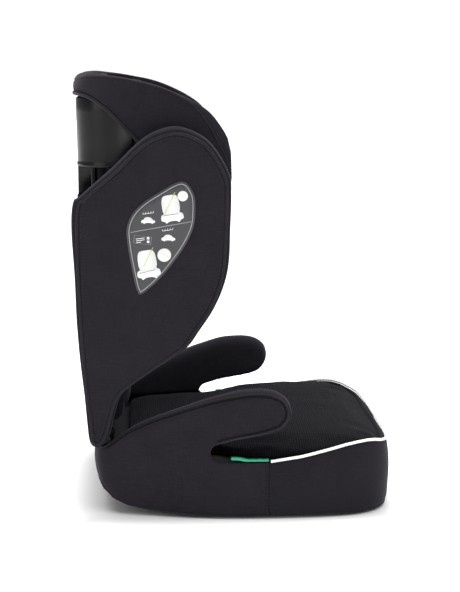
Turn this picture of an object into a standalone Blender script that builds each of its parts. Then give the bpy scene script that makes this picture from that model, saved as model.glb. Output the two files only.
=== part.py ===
"""High-back booster seat: padded base with armrests, hinged backrest and sliding headrest.

Metres, +Z up, the child faces -Y and the child's left is +X. The origin is on the floor,
under the middle of the seat's box.
"""

import math

import bmesh
import bpy
import numpy as np
from mathutils import Matrix

# ---------------------------------------------------------------- driving dimensions
GAP = 0.0003                  # room left between touching pieces

SEAT_HALF_WIDTH = 0.2235      # at the armrests
SEAT_FRONT_Y = -0.2315
SEAT_REAR_Y = 0.2080
COVER = 0.004                 # padded fabric on the base's walls
WALL = 0.003                  # moulded plastic walls
SHELL_TOP_Z = 0.083           # seat pan
FOAM_TOP_Z = 0.0940
SEAM_Y = -0.0405              # seam between the side panel and the front band
REAR_SEAM_Y = 0.170
FOOT = 0.0022                 # thickness of the rubber pads under the base

HINGE_Y = 0.190
HINGE_Z = 0.098
ROD_R = 0.005

PLATE_Y = 0.200               # front face of the back shell
BACK_BOTTOM_Z = 0.112
BACK_TOP_Z = 0.449
WING_FOOT_X = 0.190           # outer face of a wing at its lower end
WING_LEAN = math.radians(4.3)
WING_PANEL = 0.008            # outer padded panel
WING_SIDE = 0.003             # plastic side plate
WING_FOAM = 0.015
WING_BOLSTER = 0.014
WING_EDGE = 0.009             # edge band between the piping and the outline

RAIL_IN = 0.0446              # guide rails, half the width between them
RAIL_OUT = 0.060
REAR_Y = 0.2315               # rearmost face of the backrest

SLIDER_HALF = 0.044
SLIDER_Y = 0.208
HEAD_SHELL_LOW = 0.500
HEAD_SHELL_TOP = 0.5985
HEAD_TOP_Z = 0.636
HEAD_OUT = 0.172              # outer face of the headrest's wings
HEAD_PLY = 0.012              # outer padded cover of a headrest wing
HEAD_CORE = 0.016
HEAD_PAD = 0.018
ROD_Y = 0.2195                # release rod and handle
PIN_Z = 0.300

PARTS = "high_back_booster_seat"


# ---------------------------------------------------------------- scene and materials
for old in list(bpy.data.objects):
    bpy.data.objects.remove(old, do_unlink=True)
parts = bpy.data.collections.new(PARTS)
cutters = bpy.data.collections.new("cutters")
bpy.context.scene.collection.children.link(parts)
bpy.context.scene.collection.children.link(cutters)


def material(name, colour, roughness, metallic=0.0):
    made = bpy.data.materials.new(name)
    made.use_nodes = True
    shader = made.node_tree.nodes["Principled BSDF"]
    shader.inputs["Base Color"].default_value = (*colour, 1.0)
    shader.inputs["Roughness"].default_value = roughness
    shader.inputs["Metallic"].default_value = metallic
    return made


FABRIC = material("black_fabric", (0.022, 0.020, 0.024), 0.95)
MESH_FABRIC = material("black_mesh_fabric", (0.018, 0.017, 0.019), 0.90)
FOAM = material("grey_foam", (0.18, 0.18, 0.19), 0.95)
EPS = material("white_foam", (0.80, 0.80, 0.78), 0.90)
PLASTIC = material("black_plastic", (0.025, 0.025, 0.028), 0.45)
GLOSS = material("gloss_black_plastic", (0.012, 0.012, 0.014), 0.15)
GREEN = material("green_plastic", (0.020, 0.420, 0.260), 0.40)
WHITE = material("white_piping", (0.85, 0.85, 0.85), 0.70)
LABEL = material("label_print", (0.080, 0.080, 0.090), 0.60)
STEEL = material("steel", (0.60, 0.60, 0.62), 0.30, 1.0)
RUBBER = material("rubber", (0.020, 0.020, 0.020), 0.85)


# ---------------------------------------------------------------- joint frames
def joint_frame(name, y, z, parent=None):
    """An empty on a joint's axis, which its moving pieces hang on."""
    made = bpy.data.objects.new(name, None)
    parts.objects.link(made)
    made.empty_display_size = 0.03
    made.location = (0.0, y, z)
    if parent:
        made.parent = parent
        made.matrix_parent_inverse = parent.matrix_world.inverted()
    bpy.context.view_layer.update()
    return made


base = joint_frame("base_frame", 0.0, 0.0)
back = joint_frame("backrest_hinge_axis", HINGE_Y, HINGE_Z, base)
head = joint_frame("headrest_slide_axis", SLIDER_Y, HEAD_SHELL_LOW, back)
lever = joint_frame("release_handle_axis", ROD_Y, HEAD_SHELL_LOW, head)
latch = joint_frame("lock_pin_axis", SLIDER_Y, PIN_Z, head)


# ---------------------------------------------------------------- outlines
def smooth(points, closed=True, steps=4):
    """A Catmull-Rom curve through a few points, as a denser list of points."""
    p = np.array(points, float)
    count = len(p)
    out = []
    spans = count if closed else count - 1
    for i in range(spans):
        if closed:
            a, b, c, d = p[i - 1], p[i], p[(i + 1) % count], p[(i + 2) % count]
        else:
            a, b = p[max(i - 1, 0)], p[i]
            c, d = p[i + 1], p[min(i + 2, count - 1)]
        for k in range(steps):
            t = k / steps
            out.append(0.5 * ((2 * b) + (c - a) * t + (2 * a - 5 * b + 4 * c - d) * t ** 2
                              + (3 * b - a - 3 * c + d) * t ** 3))
    if not closed:
        out.append(p[-1])
    return np.array(out)


def inset(points, distance):
    """A closed outline moved inwards by a distance; where it would cross itself, points go."""
    p = np.array(points, float)
    ahead, behind = np.roll(p, -1, axis=0), np.roll(p, 1, axis=0)
    run = ahead - behind
    normal = np.stack([-run[:, 1], run[:, 0]], axis=1)
    normal /= np.linalg.norm(normal, axis=1)[:, None]
    area = np.sum(p[:, 0] * ahead[:, 1] - ahead[:, 0] * p[:, 1])
    moved = p + normal * distance * (1.0 if area > 0 else -1.0)
    edge = ahead - p
    kept = []
    for q in moved:
        share = np.clip(np.sum((q - p) * edge, axis=1) / np.sum(edge * edge, axis=1), 0.0, 1.0)
        clear = np.min(np.linalg.norm(p + edge * share[:, None] - q, axis=1))
        if clear > 0.88 * abs(distance):
            kept.append(q)
    return np.array(kept)


# ---------------------------------------------------------------- building pieces
def add(name, mesh, finish, frame):
    made = bpy.data.objects.new(name, mesh)
    parts.objects.link(made)
    mesh.materials.clear()
    mesh.materials.append(finish)
    made.parent = frame
    made.matrix_parent_inverse = frame.matrix_world.inverted()
    return made


def baked(source, name):
    """The evaluated shape of an object as a new mesh in world space; the object goes."""
    bpy.context.view_layer.update()
    seen = source.evaluated_get(bpy.context.evaluated_depsgraph_get())
    mesh = bpy.data.meshes.new_from_object(seen)
    mesh.transform(source.matrix_world)
    mesh.name = name
    work = bmesh.new()
    work.from_mesh(mesh)
    bmesh.ops.remove_doubles(work, verts=work.verts, dist=0.00002)
    bmesh.ops.recalc_face_normals(work, faces=work.faces)
    work.to_mesh(mesh)
    work.free()
    bpy.data.objects.remove(source, do_unlink=True)
    return mesh


def mirrored(source, name):
    """The same piece on the child's other side, as its own object."""
    bpy.context.view_layer.update()
    seen = source.evaluated_get(bpy.context.evaluated_depsgraph_get())
    mesh = bpy.data.meshes.new_from_object(seen)
    mesh.transform(source.matrix_world)
    mesh.transform(Matrix.Scale(-1.0, 4, (1.0, 0.0, 0.0)))
    mesh.flip_normals()
    return add(name, mesh, source.data.materials[0], source.parent)


def pair(source, stem):
    """Names a left piece and adds its right copy."""
    source.name = stem + "_left"
    return source, mirrored(source, stem + "_right")


def slab_mesh(name, outline, low, thick, axis, bevel=0.0, hole=None):
    """A flat outline with thickness along X (outline is y, z), Y (x, z) or Z (x, y)."""
    curve = bpy.data.curves.new(name, "CURVE")
    curve.dimensions = "2D"
    curve.fill_mode = "BOTH"
    curve.extrude = thick / 2 - bevel
    curve.bevel_depth = bevel
    curve.bevel_resolution = 1
    curve.offset = -bevel
    for loop in [outline] + ([hole] if hole is not None else []):
        spline = curve.splines.new("POLY")
        spline.points.add(len(loop) - 1)
        spline.use_cyclic_u = True
        for point, (u, v) in zip(spline.points, loop):
            point.co = (u, v, 0.0, 1.0)
    flat = bpy.data.objects.new(name, curve)
    cutters.objects.link(flat)
    middle = low + thick / 2
    turn = {"X": Matrix(((0, 0, 1, middle), (1, 0, 0, 0), (0, 1, 0, 0), (0, 0, 0, 1))),
            "Y": Matrix(((1, 0, 0, 0), (0, 0, -1, middle), (0, 1, 0, 0), (0, 0, 0, 1))),
            "Z": Matrix.Translation((0.0, 0.0, middle))}
    flat.matrix_world = turn[axis]
    return baked(flat, name)


def slab(name, outline, low, thick, axis, finish, frame, bevel=0.0, hole=None):
    return add(name, slab_mesh(name, outline, low, thick, axis, bevel, hole), finish, frame)


def box(name, low, high, finish, frame, bevel=0.0):
    work = bmesh.new()
    size = [b - a for a, b in zip(low, high)]
    middle = [(a + b) / 2 for a, b in zip(low, high)]
    place = Matrix.Translation(middle) @ Matrix.Diagonal((*size, 1.0))
    bmesh.ops.create_cube(work, size=1.0, matrix=place)
    mesh = bpy.data.meshes.new(name)
    work.to_mesh(mesh)
    work.free()
    made = add(name, mesh, finish, frame)
    if bevel:
        edge = made.modifiers.new("round_edges", "BEVEL")
        edge.width = bevel
        edge.segments = 2
    return made


def cylinder(name, middle, radius, length, axis, finish, frame, sides=24):
    work = bmesh.new()
    turn = {"X": Matrix.Rotation(math.pi / 2, 4, "Y"), "Y": Matrix.Rotation(math.pi / 2, 4, "X"),
            "Z": Matrix.Identity(4)}[axis]
    bmesh.ops.create_cone(work, cap_ends=True, segments=sides, radius1=radius, radius2=radius,
                          depth=length, matrix=Matrix.Translation(middle) @ turn)
    mesh = bpy.data.meshes.new(name)
    work.to_mesh(mesh)
    work.free()
    mesh.shade_smooth()
    mesh.set_sharp_from_angle(angle=math.radians(40))
    return add(name, mesh, finish, frame)


def loft(name, rings, finish, frame, caps=True):
    """A skin over closed rings of equal count, with flat ends."""
    work = bmesh.new()
    rows = [[work.verts.new(point) for point in ring] for ring in rings]
    for a, b in zip(rows, rows[1:]):
        for i in range(len(a)):
            j = (i + 1) % len(a)
            work.faces.new((a[i], a[j], b[j], b[i]))
    if caps:
        work.faces.new(rows[0])
        work.faces.new(rows[-1])
    bmesh.ops.recalc_face_normals(work, faces=work.faces)
    bmesh.ops.triangulate(work, faces=[f for f in work.faces if len(f.verts) > 4])
    mesh = bpy.data.meshes.new(name)
    work.to_mesh(mesh)
    work.free()
    return add(name, mesh, finish, frame)


def bar(name, stations, along, finish, frame, corner=0.35):
    """A padded bar: rounded sections (place, low, high, near, far) lofted along Y or X."""
    rings = []
    for place, low, high, near, far in stations:
        ring = []
        for k in range(16):
            angle = 2 * math.pi * (k + 0.5) / 16
            c, s = math.cos(angle), math.sin(angle)
            u = math.copysign(abs(c) ** corner, c)
            v = math.copysign(abs(s) ** corner, s)
            across = (near + far) / 2 + u * (far - near) / 2
            up = (low + high) / 2 + v * (high - low) / 2
            ring.append((across, place, up) if along == "Y" else (place, across, up))
        rings.append(ring)
    return loft(name, rings, finish, frame)


def cut(target, cutter, operation="DIFFERENCE"):
    """Cuts one piece with another, or joins it, and keeps the result as a plain mesh."""
    tool = target.modifiers.new(operation.lower(), "BOOLEAN")
    tool.operation = operation
    tool.object = cutter
    tool.solver = "EXACT"
    name, finish, frame = target.name, target.data.materials[0], target.parent
    mesh = baked(target, name)
    bpy.data.objects.remove(cutter, do_unlink=True)
    return add(name, mesh, finish, frame)


def cord(name, points, radius, finish, frame, closed, sides=1):
    """A round trim, such as piping, along a list of points."""
    curve = bpy.data.curves.new(name, "CURVE")
    curve.dimensions = "3D"
    curve.bevel_depth = radius
    curve.bevel_resolution = sides
    curve.use_fill_caps = not closed
    spline = curve.splines.new("POLY")
    spline.points.add(len(points) - 1)
    spline.use_cyclic_u = closed
    for point, place in zip(spline.points, points):
        point.co = (*place, 1.0)
    line = bpy.data.objects.new(name, curve)
    cutters.objects.link(line)
    return add(name, baked(line, name), finish, frame)


# ---------------------------------------------------------------- base
PLAN_HALF = [(0.0, SEAT_REAR_Y), (0.100, SEAT_REAR_Y), (0.158, 0.204), (0.184, 0.184), (0.200, 0.130),
             (0.216, 0.060), (0.2232, 0.0), (SEAT_HALF_WIDTH, -0.080), (0.2195, -0.135),
             (0.209, -0.178), (0.187, -0.209), (0.155, -0.2258), (0.106, -0.2302), (0.050, -0.2313),
             (0.0, SEAT_FRONT_Y)]


def plan(inward=0.0):
    """The base seen from above, closed, from the rear centre round the child's left."""
    half = PLAN_HALF[1:-1]
    whole = [PLAN_HALF[0]] + half + [PLAN_HALF[-1]] + [(-x, y) for x, y in reversed(half)]
    outline = smooth(whole, steps=2)
    return inset(outline, inward) if inward else outline


def band_top(y):
    """Height of the fabric walls' top edge: a dip under each armrest, a rise in front."""
    return float(np.interp(y, (-0.2315, -0.2146, -0.203, -0.190, -0.174, -0.155, -0.127, -0.090, -0.045,
                               0.030, 0.050, 0.20),
                           (0.0985, 0.1040, 0.1085, 0.1110, 0.1108, 0.1075, 0.1005, 0.0920, 0.0862,
                            0.0865, 0.0930, 0.0935)))


def band_low(y):
    """Height of the walls' lower edge, which sweeps up to the rear."""
    return float(np.interp(y, (0.050, 0.100, 0.130, 0.160, 0.180, 0.195, 0.208),
                           (0.0, 0.003, 0.006, 0.010, 0.016, 0.026, 0.038)))


def wall(name, path, finish):
    """A stretch of the padded fabric wall that runs round the base."""
    path = np.array(path)
    run = np.gradient(path, axis=0)
    inward = np.stack([run[:, 1], -run[:, 0]], axis=1)
    inward /= np.linalg.norm(inward, axis=1)[:, None]
    rows = []
    for (x, y), (nx, ny) in zip(path, inward):
        low, top = band_low(y), band_top(y)
        profile = ((0.012, low + 0.0012), (0.005, low + 0.007), (0.0, low + 0.022), (0.0, top))
        outer = [(x + nx * d, y + ny * d, z) for d, z in profile]
        inner = [(x + nx * (d + COVER), y + ny * (d + COVER), z) for d, z in reversed(profile)]
        rows.append(outer + inner)
    return loft(name, rows, finish, base)


def stretch(first, last):
    """The plan's outline on the child's left between two values of y."""
    half = smooth(PLAN_HALF, closed=False, steps=4)
    level = half[:, 1]
    order = np.argsort(level)
    inside = [tuple(p) for p in half if last + 0.002 < p[1] < first - 0.002]
    ends = [(float(np.interp(y, level[order], half[order, 0])), y) for y in (first, last)]
    return [ends[0]] + inside + [ends[1]]


rear_half = stretch(SEAT_REAR_Y + 0.003, REAR_SEAM_Y + 0.0012)[2:]
wall("rear_cover", [(-x, y) for x, y in reversed(rear_half)] + rear_half, FABRIC)
pair(wall("side_panel", stretch(REAR_SEAM_Y - 0.0012, SEAM_Y + GAP / 2), FABRIC), "side_panel")
front_half = stretch(SEAM_Y - GAP / 2, SEAT_FRONT_Y)
wall("front_band", front_half + [(-x, y) for x, y in reversed(front_half[:-1])], FABRIC)


def ring(inward, height, follow=0.0):
    """The plan at one height, which may follow the rise of the walls' lower edge."""
    return [(x, y, height + follow * band_low(y)) for x, y in plan(inward)]


def base_shell():
    """The moulded tub: walls and seat pan, open underneath."""
    skin = COVER + 4 * GAP
    made = loft("base_shell", [ring(skin + 0.013, 0.0165, 1.0), ring(skin + 0.001, 0.026, 1.0),
                               ring(skin, 0.078), ring(skin + 0.005, SHELL_TOP_Z)], PLASTIC, base, caps=False)
    work = bmesh.new()
    work.from_mesh(made.data)
    rim = [e for e in work.edges if e.is_boundary and e.verts[0].co.z > 0.080]
    bmesh.ops.triangulate(work, faces=bmesh.ops.contextual_create(work, geom=rim)["faces"])
    bmesh.ops.recalc_face_normals(work, faces=work.faces)
    upper = max(work.faces, key=lambda f: f.calc_center_median().z)
    if upper.normal.z < 0:
        bmesh.ops.reverse_faces(work, faces=work.faces)
    work.to_mesh(made.data)
    work.free()
    thick = made.modifiers.new("wall", "SOLIDIFY")
    thick.thickness = WALL
    thick.offset = -1.0
    return made


base_shell()


def floor_ribs():
    """The moulded grid that holds the seat pan up from the bottom plate."""
    top = SHELL_TOP_Z - WALL - GAP
    grid = box("floor_ribs", (-0.002, -0.180, 0.0060), (0.002, 0.130, top), PLASTIC, base)
    for half, y in ((0.170, -0.150), (0.195, -0.060), (0.192, 0.030), (0.176, 0.115)):
        rib = box("rib", (-half, y - 0.002, 0.0062), (half, y + 0.002, top - 0.0002), PLASTIC, base)
        grid = cut(grid, rib, "UNION")
    return grid


floor_ribs()

PLATE_OUTLINE = [(-0.191, 0.085), (-0.203, 0.0), (-0.203, -0.110), (-0.170, -0.180), (-0.100, -0.208),
                 (0.100, -0.208), (0.170, -0.180), (0.203, -0.110), (0.203, 0.0), (0.191, 0.085)]
slab("bottom_plate", PLATE_OUTLINE, FOOT + GAP, 0.0030, "Z", PLASTIC, base)

FOOT_PLACES = {"front": (0.135, -0.150), "rear": (0.150, 0.060)}
for place, (x, y) in FOOT_PLACES.items():
    around = [(x + 0.030 * math.cos(a) * abs(math.cos(a)) ** -0.5, y + 0.014 * math.sin(a)
               * abs(math.sin(a)) ** -0.5) for a in np.arange(0.13, 6.28, math.pi / 8)]
    pair(slab("foot", around, 0.0, FOOT, "Z", RUBBER, base), f"{place}_foot")

SEAT_HALF = [(0.0, 0.160), (0.095, 0.160), (0.136, 0.152), (0.150, 0.125), (0.162, 0.080), (0.172, 0.030),
             (0.188, -0.002), (0.207, -0.040), (0.2085, -0.085), (0.2075, -0.132), (0.197, -0.172),
             (0.175, -0.2005), (0.145, -0.215), (0.104, -0.2195), (0.0, -0.2210)]
CREST_Y = (-0.2210, -0.205, -0.190, -0.165, -0.135, -0.065, 0.0, 0.050, 0.100, 0.160)
CREST_Z = (0.103, 0.112, 0.1165, 0.1195, 0.1205, 0.1185, 0.115, 0.1115, 0.1085, 0.105)
SEAT_RINGS = ((1.0, 0.0), (0.985, 0.26), (0.95, 0.48), (0.88, 0.72), (0.81, 0.84), (0.72, 0.92),
              (0.55, 0.98), (0.30, 1.0))


def seat_plan(scale=1.0):
    half = SEAT_HALF[1:-1]
    whole = [SEAT_HALF[0]] + half + [SEAT_HALF[-1]] + [(-x, y) for x, y in reversed(half)]
    middle = -0.030
    return [(x * scale, middle + (y - middle) * scale) for x, y in smooth(whole, steps=2)]


def tuck(scale, y):
    """How much of the crown is left near the edge where the cushion runs under the armrests."""
    under = float(np.interp(y, (-0.100, -0.060, 0.030, 0.060), (0.0, 1.0, 1.0, 0.0)))
    return 1.0 - 0.87 * under * float(np.interp(scale, (0.75, 0.88), (0.0, 1.0)))


def seat_layers():
    """The foam board and the crowned, mesh-covered cushion on it."""
    slab("seat_foam", seat_plan(0.985), SHELL_TOP_Z + GAP, FOAM_TOP_Z - SHELL_TOP_Z - 2 * GAP, "Z",
         FOAM, base)
    edge = FOAM_TOP_Z + 0.004
    rings = [[(x, y, FOAM_TOP_Z) for x, y in seat_plan(0.985)]]
    for scale, share in SEAT_RINGS:
        rings.append([(x, y, edge + share * tuck(scale, y) * (float(np.interp(y, CREST_Y, CREST_Z)) - edge))
                      for x, y in seat_plan(scale)])
    loft("seat_cushion", rings, MESH_FABRIC, base)


seat_layers()


def armrest():
    """A padded cover with the moulded core inside it, open to the rear."""
    stations = []
    outline = ((0.188, 0.0955, 0.104), (0.165, 0.0950, 0.121), (0.140, 0.0945, 0.137), (0.100, 0.0945, 0.154),
               (0.0545, 0.0960, 0.171), (0.030, 0.104, 0.1785), (0.0, 0.116, 0.186), (-0.025, 0.122, 0.188),
               (-0.050, 0.128, 0.183), (-0.066, 0.137, 0.173), (-0.073, 0.146, 0.163))
    for y, low, high in outline:
        outer = float(np.interp(y, (-0.10, 0.0, 0.06, 0.13, 0.188), (0.2235, 0.2232, 0.2170, 0.2010, 0.1870)))
        tip = max(0.0, -0.045 - y) * 0.25
        stations.append((y, low, high, outer - 0.040 + tip, outer - 0.0012 - tip))
    cover = bar("armrest_cover", stations, "Y", FABRIC, base)
    core = [(y, low + 0.012, high - 0.012, near + 0.013, far - 0.013)
            for y, low, high, near, far in stations[2:9]]
    core[0] = (core[0][0], 0.1075, 0.1240, core[0][3], core[0][4])
    room = [(y, low - GAP, high + GAP, near - GAP, far + GAP) for y, low, high, near, far in core]
    room[-1] = (room[-1][0] - GAP, *room[-1][1:])
    y, low, high, near, far = room[0]
    room.insert(0, (0.200, 0.080, 0.120, near - 0.016, far - 0.016))
    cover = cut(cover, bar("pocket", room, "Y", FABRIC, base))
    pair(cover, "armrest_cover")
    pair(bar("armrest_core", core, "Y", PLASTIC, base), "armrest_core")


armrest()


def lap_belt_guide():
    """The green strip on the floor of the belt gap under an armrest."""
    path = stretch(0.022, SEAM_Y + 0.002)
    line = [(x - 0.0030, y, band_top(y) + 0.0030 + GAP) for x, y in smooth(path, closed=False, steps=1)]
    rows = []
    for x, y, z in line:
        rows.append([(x - 0.0080, y, z - 0.0028), (x + 0.0028, y, z - 0.0028), (x + 0.0028, y, z + 0.0015),
                     (x, y, z + 0.0028), (x - 0.0080, y, z + 0.0040)])
    pair(loft("lap_belt_guide", rows, GREEN, base), "lap_belt_guide")


lap_belt_guide()

PIPE_R = 0.0020
pipe_half = [(x * 0.992, y * 0.992 + 0.0005, band_top(y) + PIPE_R + GAP) for x, y in front_half[1:]]
cord("seat_piping", pipe_half + [(-x, y, z) for x, y, z in reversed(pipe_half[:-1])], PIPE_R, WHITE,
     base, closed=False)

cylinder("hinge_rod", (0.0, HINGE_Y, HINGE_Z), ROD_R, 0.272, "X", STEEL, base)
for side, word in ((1, "left"), (-1, "right")):
    bracket = box(f"rod_bracket_{word}", (side * 0.116 - 0.006, 0.180, SHELL_TOP_Z + GAP),
                  (side * 0.116 + 0.006, 0.200, 0.108), PLASTIC, base)
    cut(bracket, cylinder("bore", (side * 0.116, HINGE_Y, HINGE_Z), ROD_R + GAP, 0.05, "X", PLASTIC, base))


# ---------------------------------------------------------------- backrest
WING = [(0.2050, 0.0985), (0.1965, 0.1005), (0.1885, 0.1080), (0.1830, 0.1200), (0.1765, 0.1450),
        (0.1685, 0.1700), (0.1560, 0.1860), (0.1310, 0.2045), (0.0950, 0.2295), (0.0700, 0.2480),
        (0.0525, 0.2730), (0.0340, 0.3020), (0.0210, 0.3315), (0.0140, 0.3640), (0.0108, 0.4150),
        (0.0097, 0.4650), (0.0123, 0.4940), (0.0300, 0.5280), (0.0500, 0.5490), (0.0830, 0.5610),
        (0.1140, 0.5547), (0.1410, 0.5388), (0.1775, 0.5045), (0.2205, 0.4640), (0.2300, 0.4510),
        (0.2312, 0.3880), (0.2260, 0.2450), (0.2165, 0.1300), (0.2145, 0.1120), (0.2110, 0.1020)]


def leaned(made):
    """Tilts a wing piece outwards about its foot; x counts inwards from the outer face."""
    place = (Matrix.Translation((WING_FOOT_X, 0.0, BACK_BOTTOM_Z))
             @ Matrix.Rotation(WING_LEAN, 4, "Y") @ Matrix.Translation((0.0, 0.0, -BACK_BOTTOM_Z)))
    made.data.transform(place)
    return made


def wing():
    """One side wing: outer panel, piping, side plate, foam and the inner bolster."""
    outline = smooth(WING, steps=2)
    depth = WING_PANEL
    panel = slab("wing_panel", inset(outline, WING_EDGE), -depth, WING_PANEL, "X", FABRIC, back, bevel=0.003)
    pair(leaned(panel), "wing_panel")
    x = -depth + 0.0022 + GAP
    seam = [(x, y, z) for y, z in inset(outline, WING_EDGE - 0.0025 - GAP)]
    pair(leaned(cord("wing_piping", seam, 0.0020, FABRIC, back, closed=True)), "wing_piping")
    depth += WING_SIDE + GAP
    plate = slab("wing_side_plate", inset(outline, 0.006), -depth, WING_SIDE, "X", PLASTIC, back)
    pair(leaned(plate), "wing_side_plate")
    depth += WING_FOAM + GAP
    foam = slab("wing_foam", inset(outline, 0.008), -depth, WING_FOAM, "X", EPS, back)
    pair(leaned(foam), "wing_foam")
    depth += WING_BOLSTER + GAP
    inner = slab("wing_bolster", inset(outline, 0.001), -depth, WING_BOLSTER, "X", FABRIC, back, bevel=0.005)
    pair(leaned(inner), "wing_bolster")
    return depth


WING_DEPTH = wing() + GAP


def wing_inside(z):
    """Distance from the middle to a wing's inner face."""
    return WING_FOOT_X + (z - BACK_BOTTOM_Z) * math.tan(WING_LEAN) - WING_DEPTH - 0.0022


def back_shell():
    """The moulded rear plate between the wings, with stiffening ribs on its back."""
    low, top = wing_inside(BACK_BOTTOM_Z), wing_inside(BACK_TOP_Z)
    outline = [(-low, BACK_BOTTOM_Z), (low, BACK_BOTTOM_Z), (top, BACK_TOP_Z), (-top, BACK_TOP_Z)]
    plate = slab("back_shell", outline, PLATE_Y, WALL, "Y", PLASTIC, back)
    for z in (0.175, 0.240, 0.305, 0.370, 0.435):
        for side in (-1, 1):
            near, far = RAIL_OUT + 0.012, wing_inside(z) - 0.006
            low_x, high_x = sorted((side * near, side * far))
            rib = box("rib", (low_x, PLATE_Y + 0.001, z - 0.0015), (high_x, 0.222, z + 0.0015), PLASTIC, back)
            plate = cut(plate, rib, "UNION")
    return plate


back_shell()


def back_pad():
    """The padded front of the backrest, crowned and thicker towards the child's hips."""
    rings = []
    for scale, share in ((1.0, 0.0), (1.0, 0.45), (0.95, 0.75), (0.85, 0.92), (0.60, 1.0)):
        row = []
        for x, z in smooth([(-0.120, 0.122), (0.0, 0.120), (0.120, 0.122), (0.140, 0.142), (0.146, 0.230),
                            (0.1555, 0.340), (0.1600, 0.420), (0.148, 0.438), (0.0, 0.440), (-0.148, 0.438),
                            (-0.1600, 0.420), (-0.1555, 0.340), (-0.146, 0.230), (-0.140, 0.142)], steps=2):
            thick = float(np.interp(z, (0.12, 0.17, 0.30, 0.44), (0.046, 0.052, 0.040, 0.034)))
            row.append((x * scale, PLATE_Y - GAP - thick * share, 0.280 + (z - 0.280) * scale))
        rings.append(row)
    loft("back_pad", rings, FABRIC, back)


back_pad()

RAIL = [(RAIL_IN, PLATE_Y + WALL + GAP), (RAIL_OUT, PLATE_Y + WALL + GAP), (RAIL_OUT, REAR_Y - 0.001),
        (RAIL_OUT - 0.003, REAR_Y - 0.001), (RAIL_OUT - 0.003, PLATE_Y + WALL + 0.0035),
        (RAIL_IN + 0.003, PLATE_Y + WALL + 0.0035), (RAIL_IN + 0.003, REAR_Y - 0.001),
        (RAIL_IN, REAR_Y - 0.001)]
pair(slab("guide_rail", RAIL, 0.226, 0.228, "Z", PLASTIC, back), "guide_rail")

RACK_Y = PLATE_Y + WALL + GAP
teeth = [(RACK_Y, 0.275), (RACK_Y, 0.448)]
for step in range(17):
    z = 0.448 - step * 0.010
    teeth += [(RACK_Y + 0.0030, z), (RACK_Y + 0.0030, z - 0.004), (RACK_Y + 0.0015, z - 0.006),
              (RACK_Y + 0.0015, z - 0.010)]
slab("height_rack", teeth, -0.008, 0.016, "X", PLASTIC, back)


def hinge_hook():
    """A hook under the back shell that turns on the base's steel rod."""
    arm = box("hinge_hook", (0.075, PLATE_Y + WALL + GAP, 0.103), (0.087, 0.2115, 0.160), PLASTIC, back)
    arm = cut(arm, cylinder("eye", (0.081, HINGE_Y, HINGE_Z), 0.011, 0.012, "X", PLASTIC, back), "UNION")
    link = box("link", (0.075, HINGE_Y + 0.002, 0.0985), (0.087, 0.206, 0.1088), PLASTIC, back)
    arm = cut(arm, link, "UNION")
    hole = cylinder("hole", (0.081, HINGE_Y, HINGE_Z), ROD_R + 0.0004, 0.05, "X", PLASTIC, back)
    pair(cut(arm, hole), "hinge_hook")


hinge_hook()


def label():
    """The printed patch on a wing's outer panel."""
    leaf = smooth([(0.0800, 0.4885), (0.0635, 0.4720), (0.0610, 0.4450), (0.0650, 0.4200), (0.0805, 0.3900),
                   (0.1095, 0.3525), (0.1363, 0.3290), (0.1430, 0.3340), (0.1475, 0.3510), (0.1555, 0.3970),
                   (0.1560, 0.4270), (0.1415, 0.4520), (0.1114, 0.4735)], steps=3)
    patch = slab("instruction_label", leaf, GAP, 0.0006, "X", LABEL, back)
    pair(leaned(patch), "instruction_label")


label()


# ---------------------------------------------------------------- headrest
def head_side(y):
    """Outer face of the headrest: straight along the wings, then curving round to the rear."""
    return float(np.interp(y, (0.0, 0.135, 0.160, 0.180, 0.192), (HEAD_OUT, HEAD_OUT, 0.168, 0.160, 0.153)))


def headrest_wing():
    """One headrest wing: outer cover, foam core and inner pad."""
    outline = ((0.0075, 0.482, 0.523), (0.0105, 0.470, 0.537), (0.0180, 0.458, 0.553), (0.0280, 0.451, 0.568),
               (0.0405, 0.446, 0.582), (0.0590, 0.443, 0.594), (0.0795, 0.443, 0.605), (0.1020, 0.446, 0.614),
               (0.1240, 0.450, 0.621), (0.1330, 0.470, 0.623), (0.1400, 0.543, 0.6245),
               (0.1620, 0.566, 0.6290), (0.1900, 0.587, 0.6335))
    cover = [(y, low, high, head_side(y) - HEAD_PLY, head_side(y)) for y, low, high in outline]
    pair(bar("headrest_cover", cover, "Y", FABRIC, head, corner=0.5), "headrest_cover")
    x = HEAD_OUT - HEAD_PLY - GAP
    core = [(y, low + 0.014, high - 0.014, x - HEAD_CORE, x) for y, low, high in outline[3:10]]
    pair(bar("headrest_foam", core, "Y", EPS, head, corner=0.4), "headrest_foam")
    x -= HEAD_CORE + GAP
    pad = [(y, low + 0.003, high - 0.003, x - HEAD_PAD, x) for y, low, high in outline[1:10]]
    pad += [(0.1470, 0.474, 0.624, x - HEAD_PAD, x), (0.1490, 0.474, 0.624, x - HEAD_PAD, x - 0.0035),
            (0.1650, 0.474, 0.624, x - HEAD_PAD, x - 0.0035)]
    pair(bar("headrest_side_pad", pad, "Y", FABRIC, head, corner=0.5), "headrest_side_pad")
    return x - HEAD_PAD


HEAD_INSIDE = headrest_wing() - GAP


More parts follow.
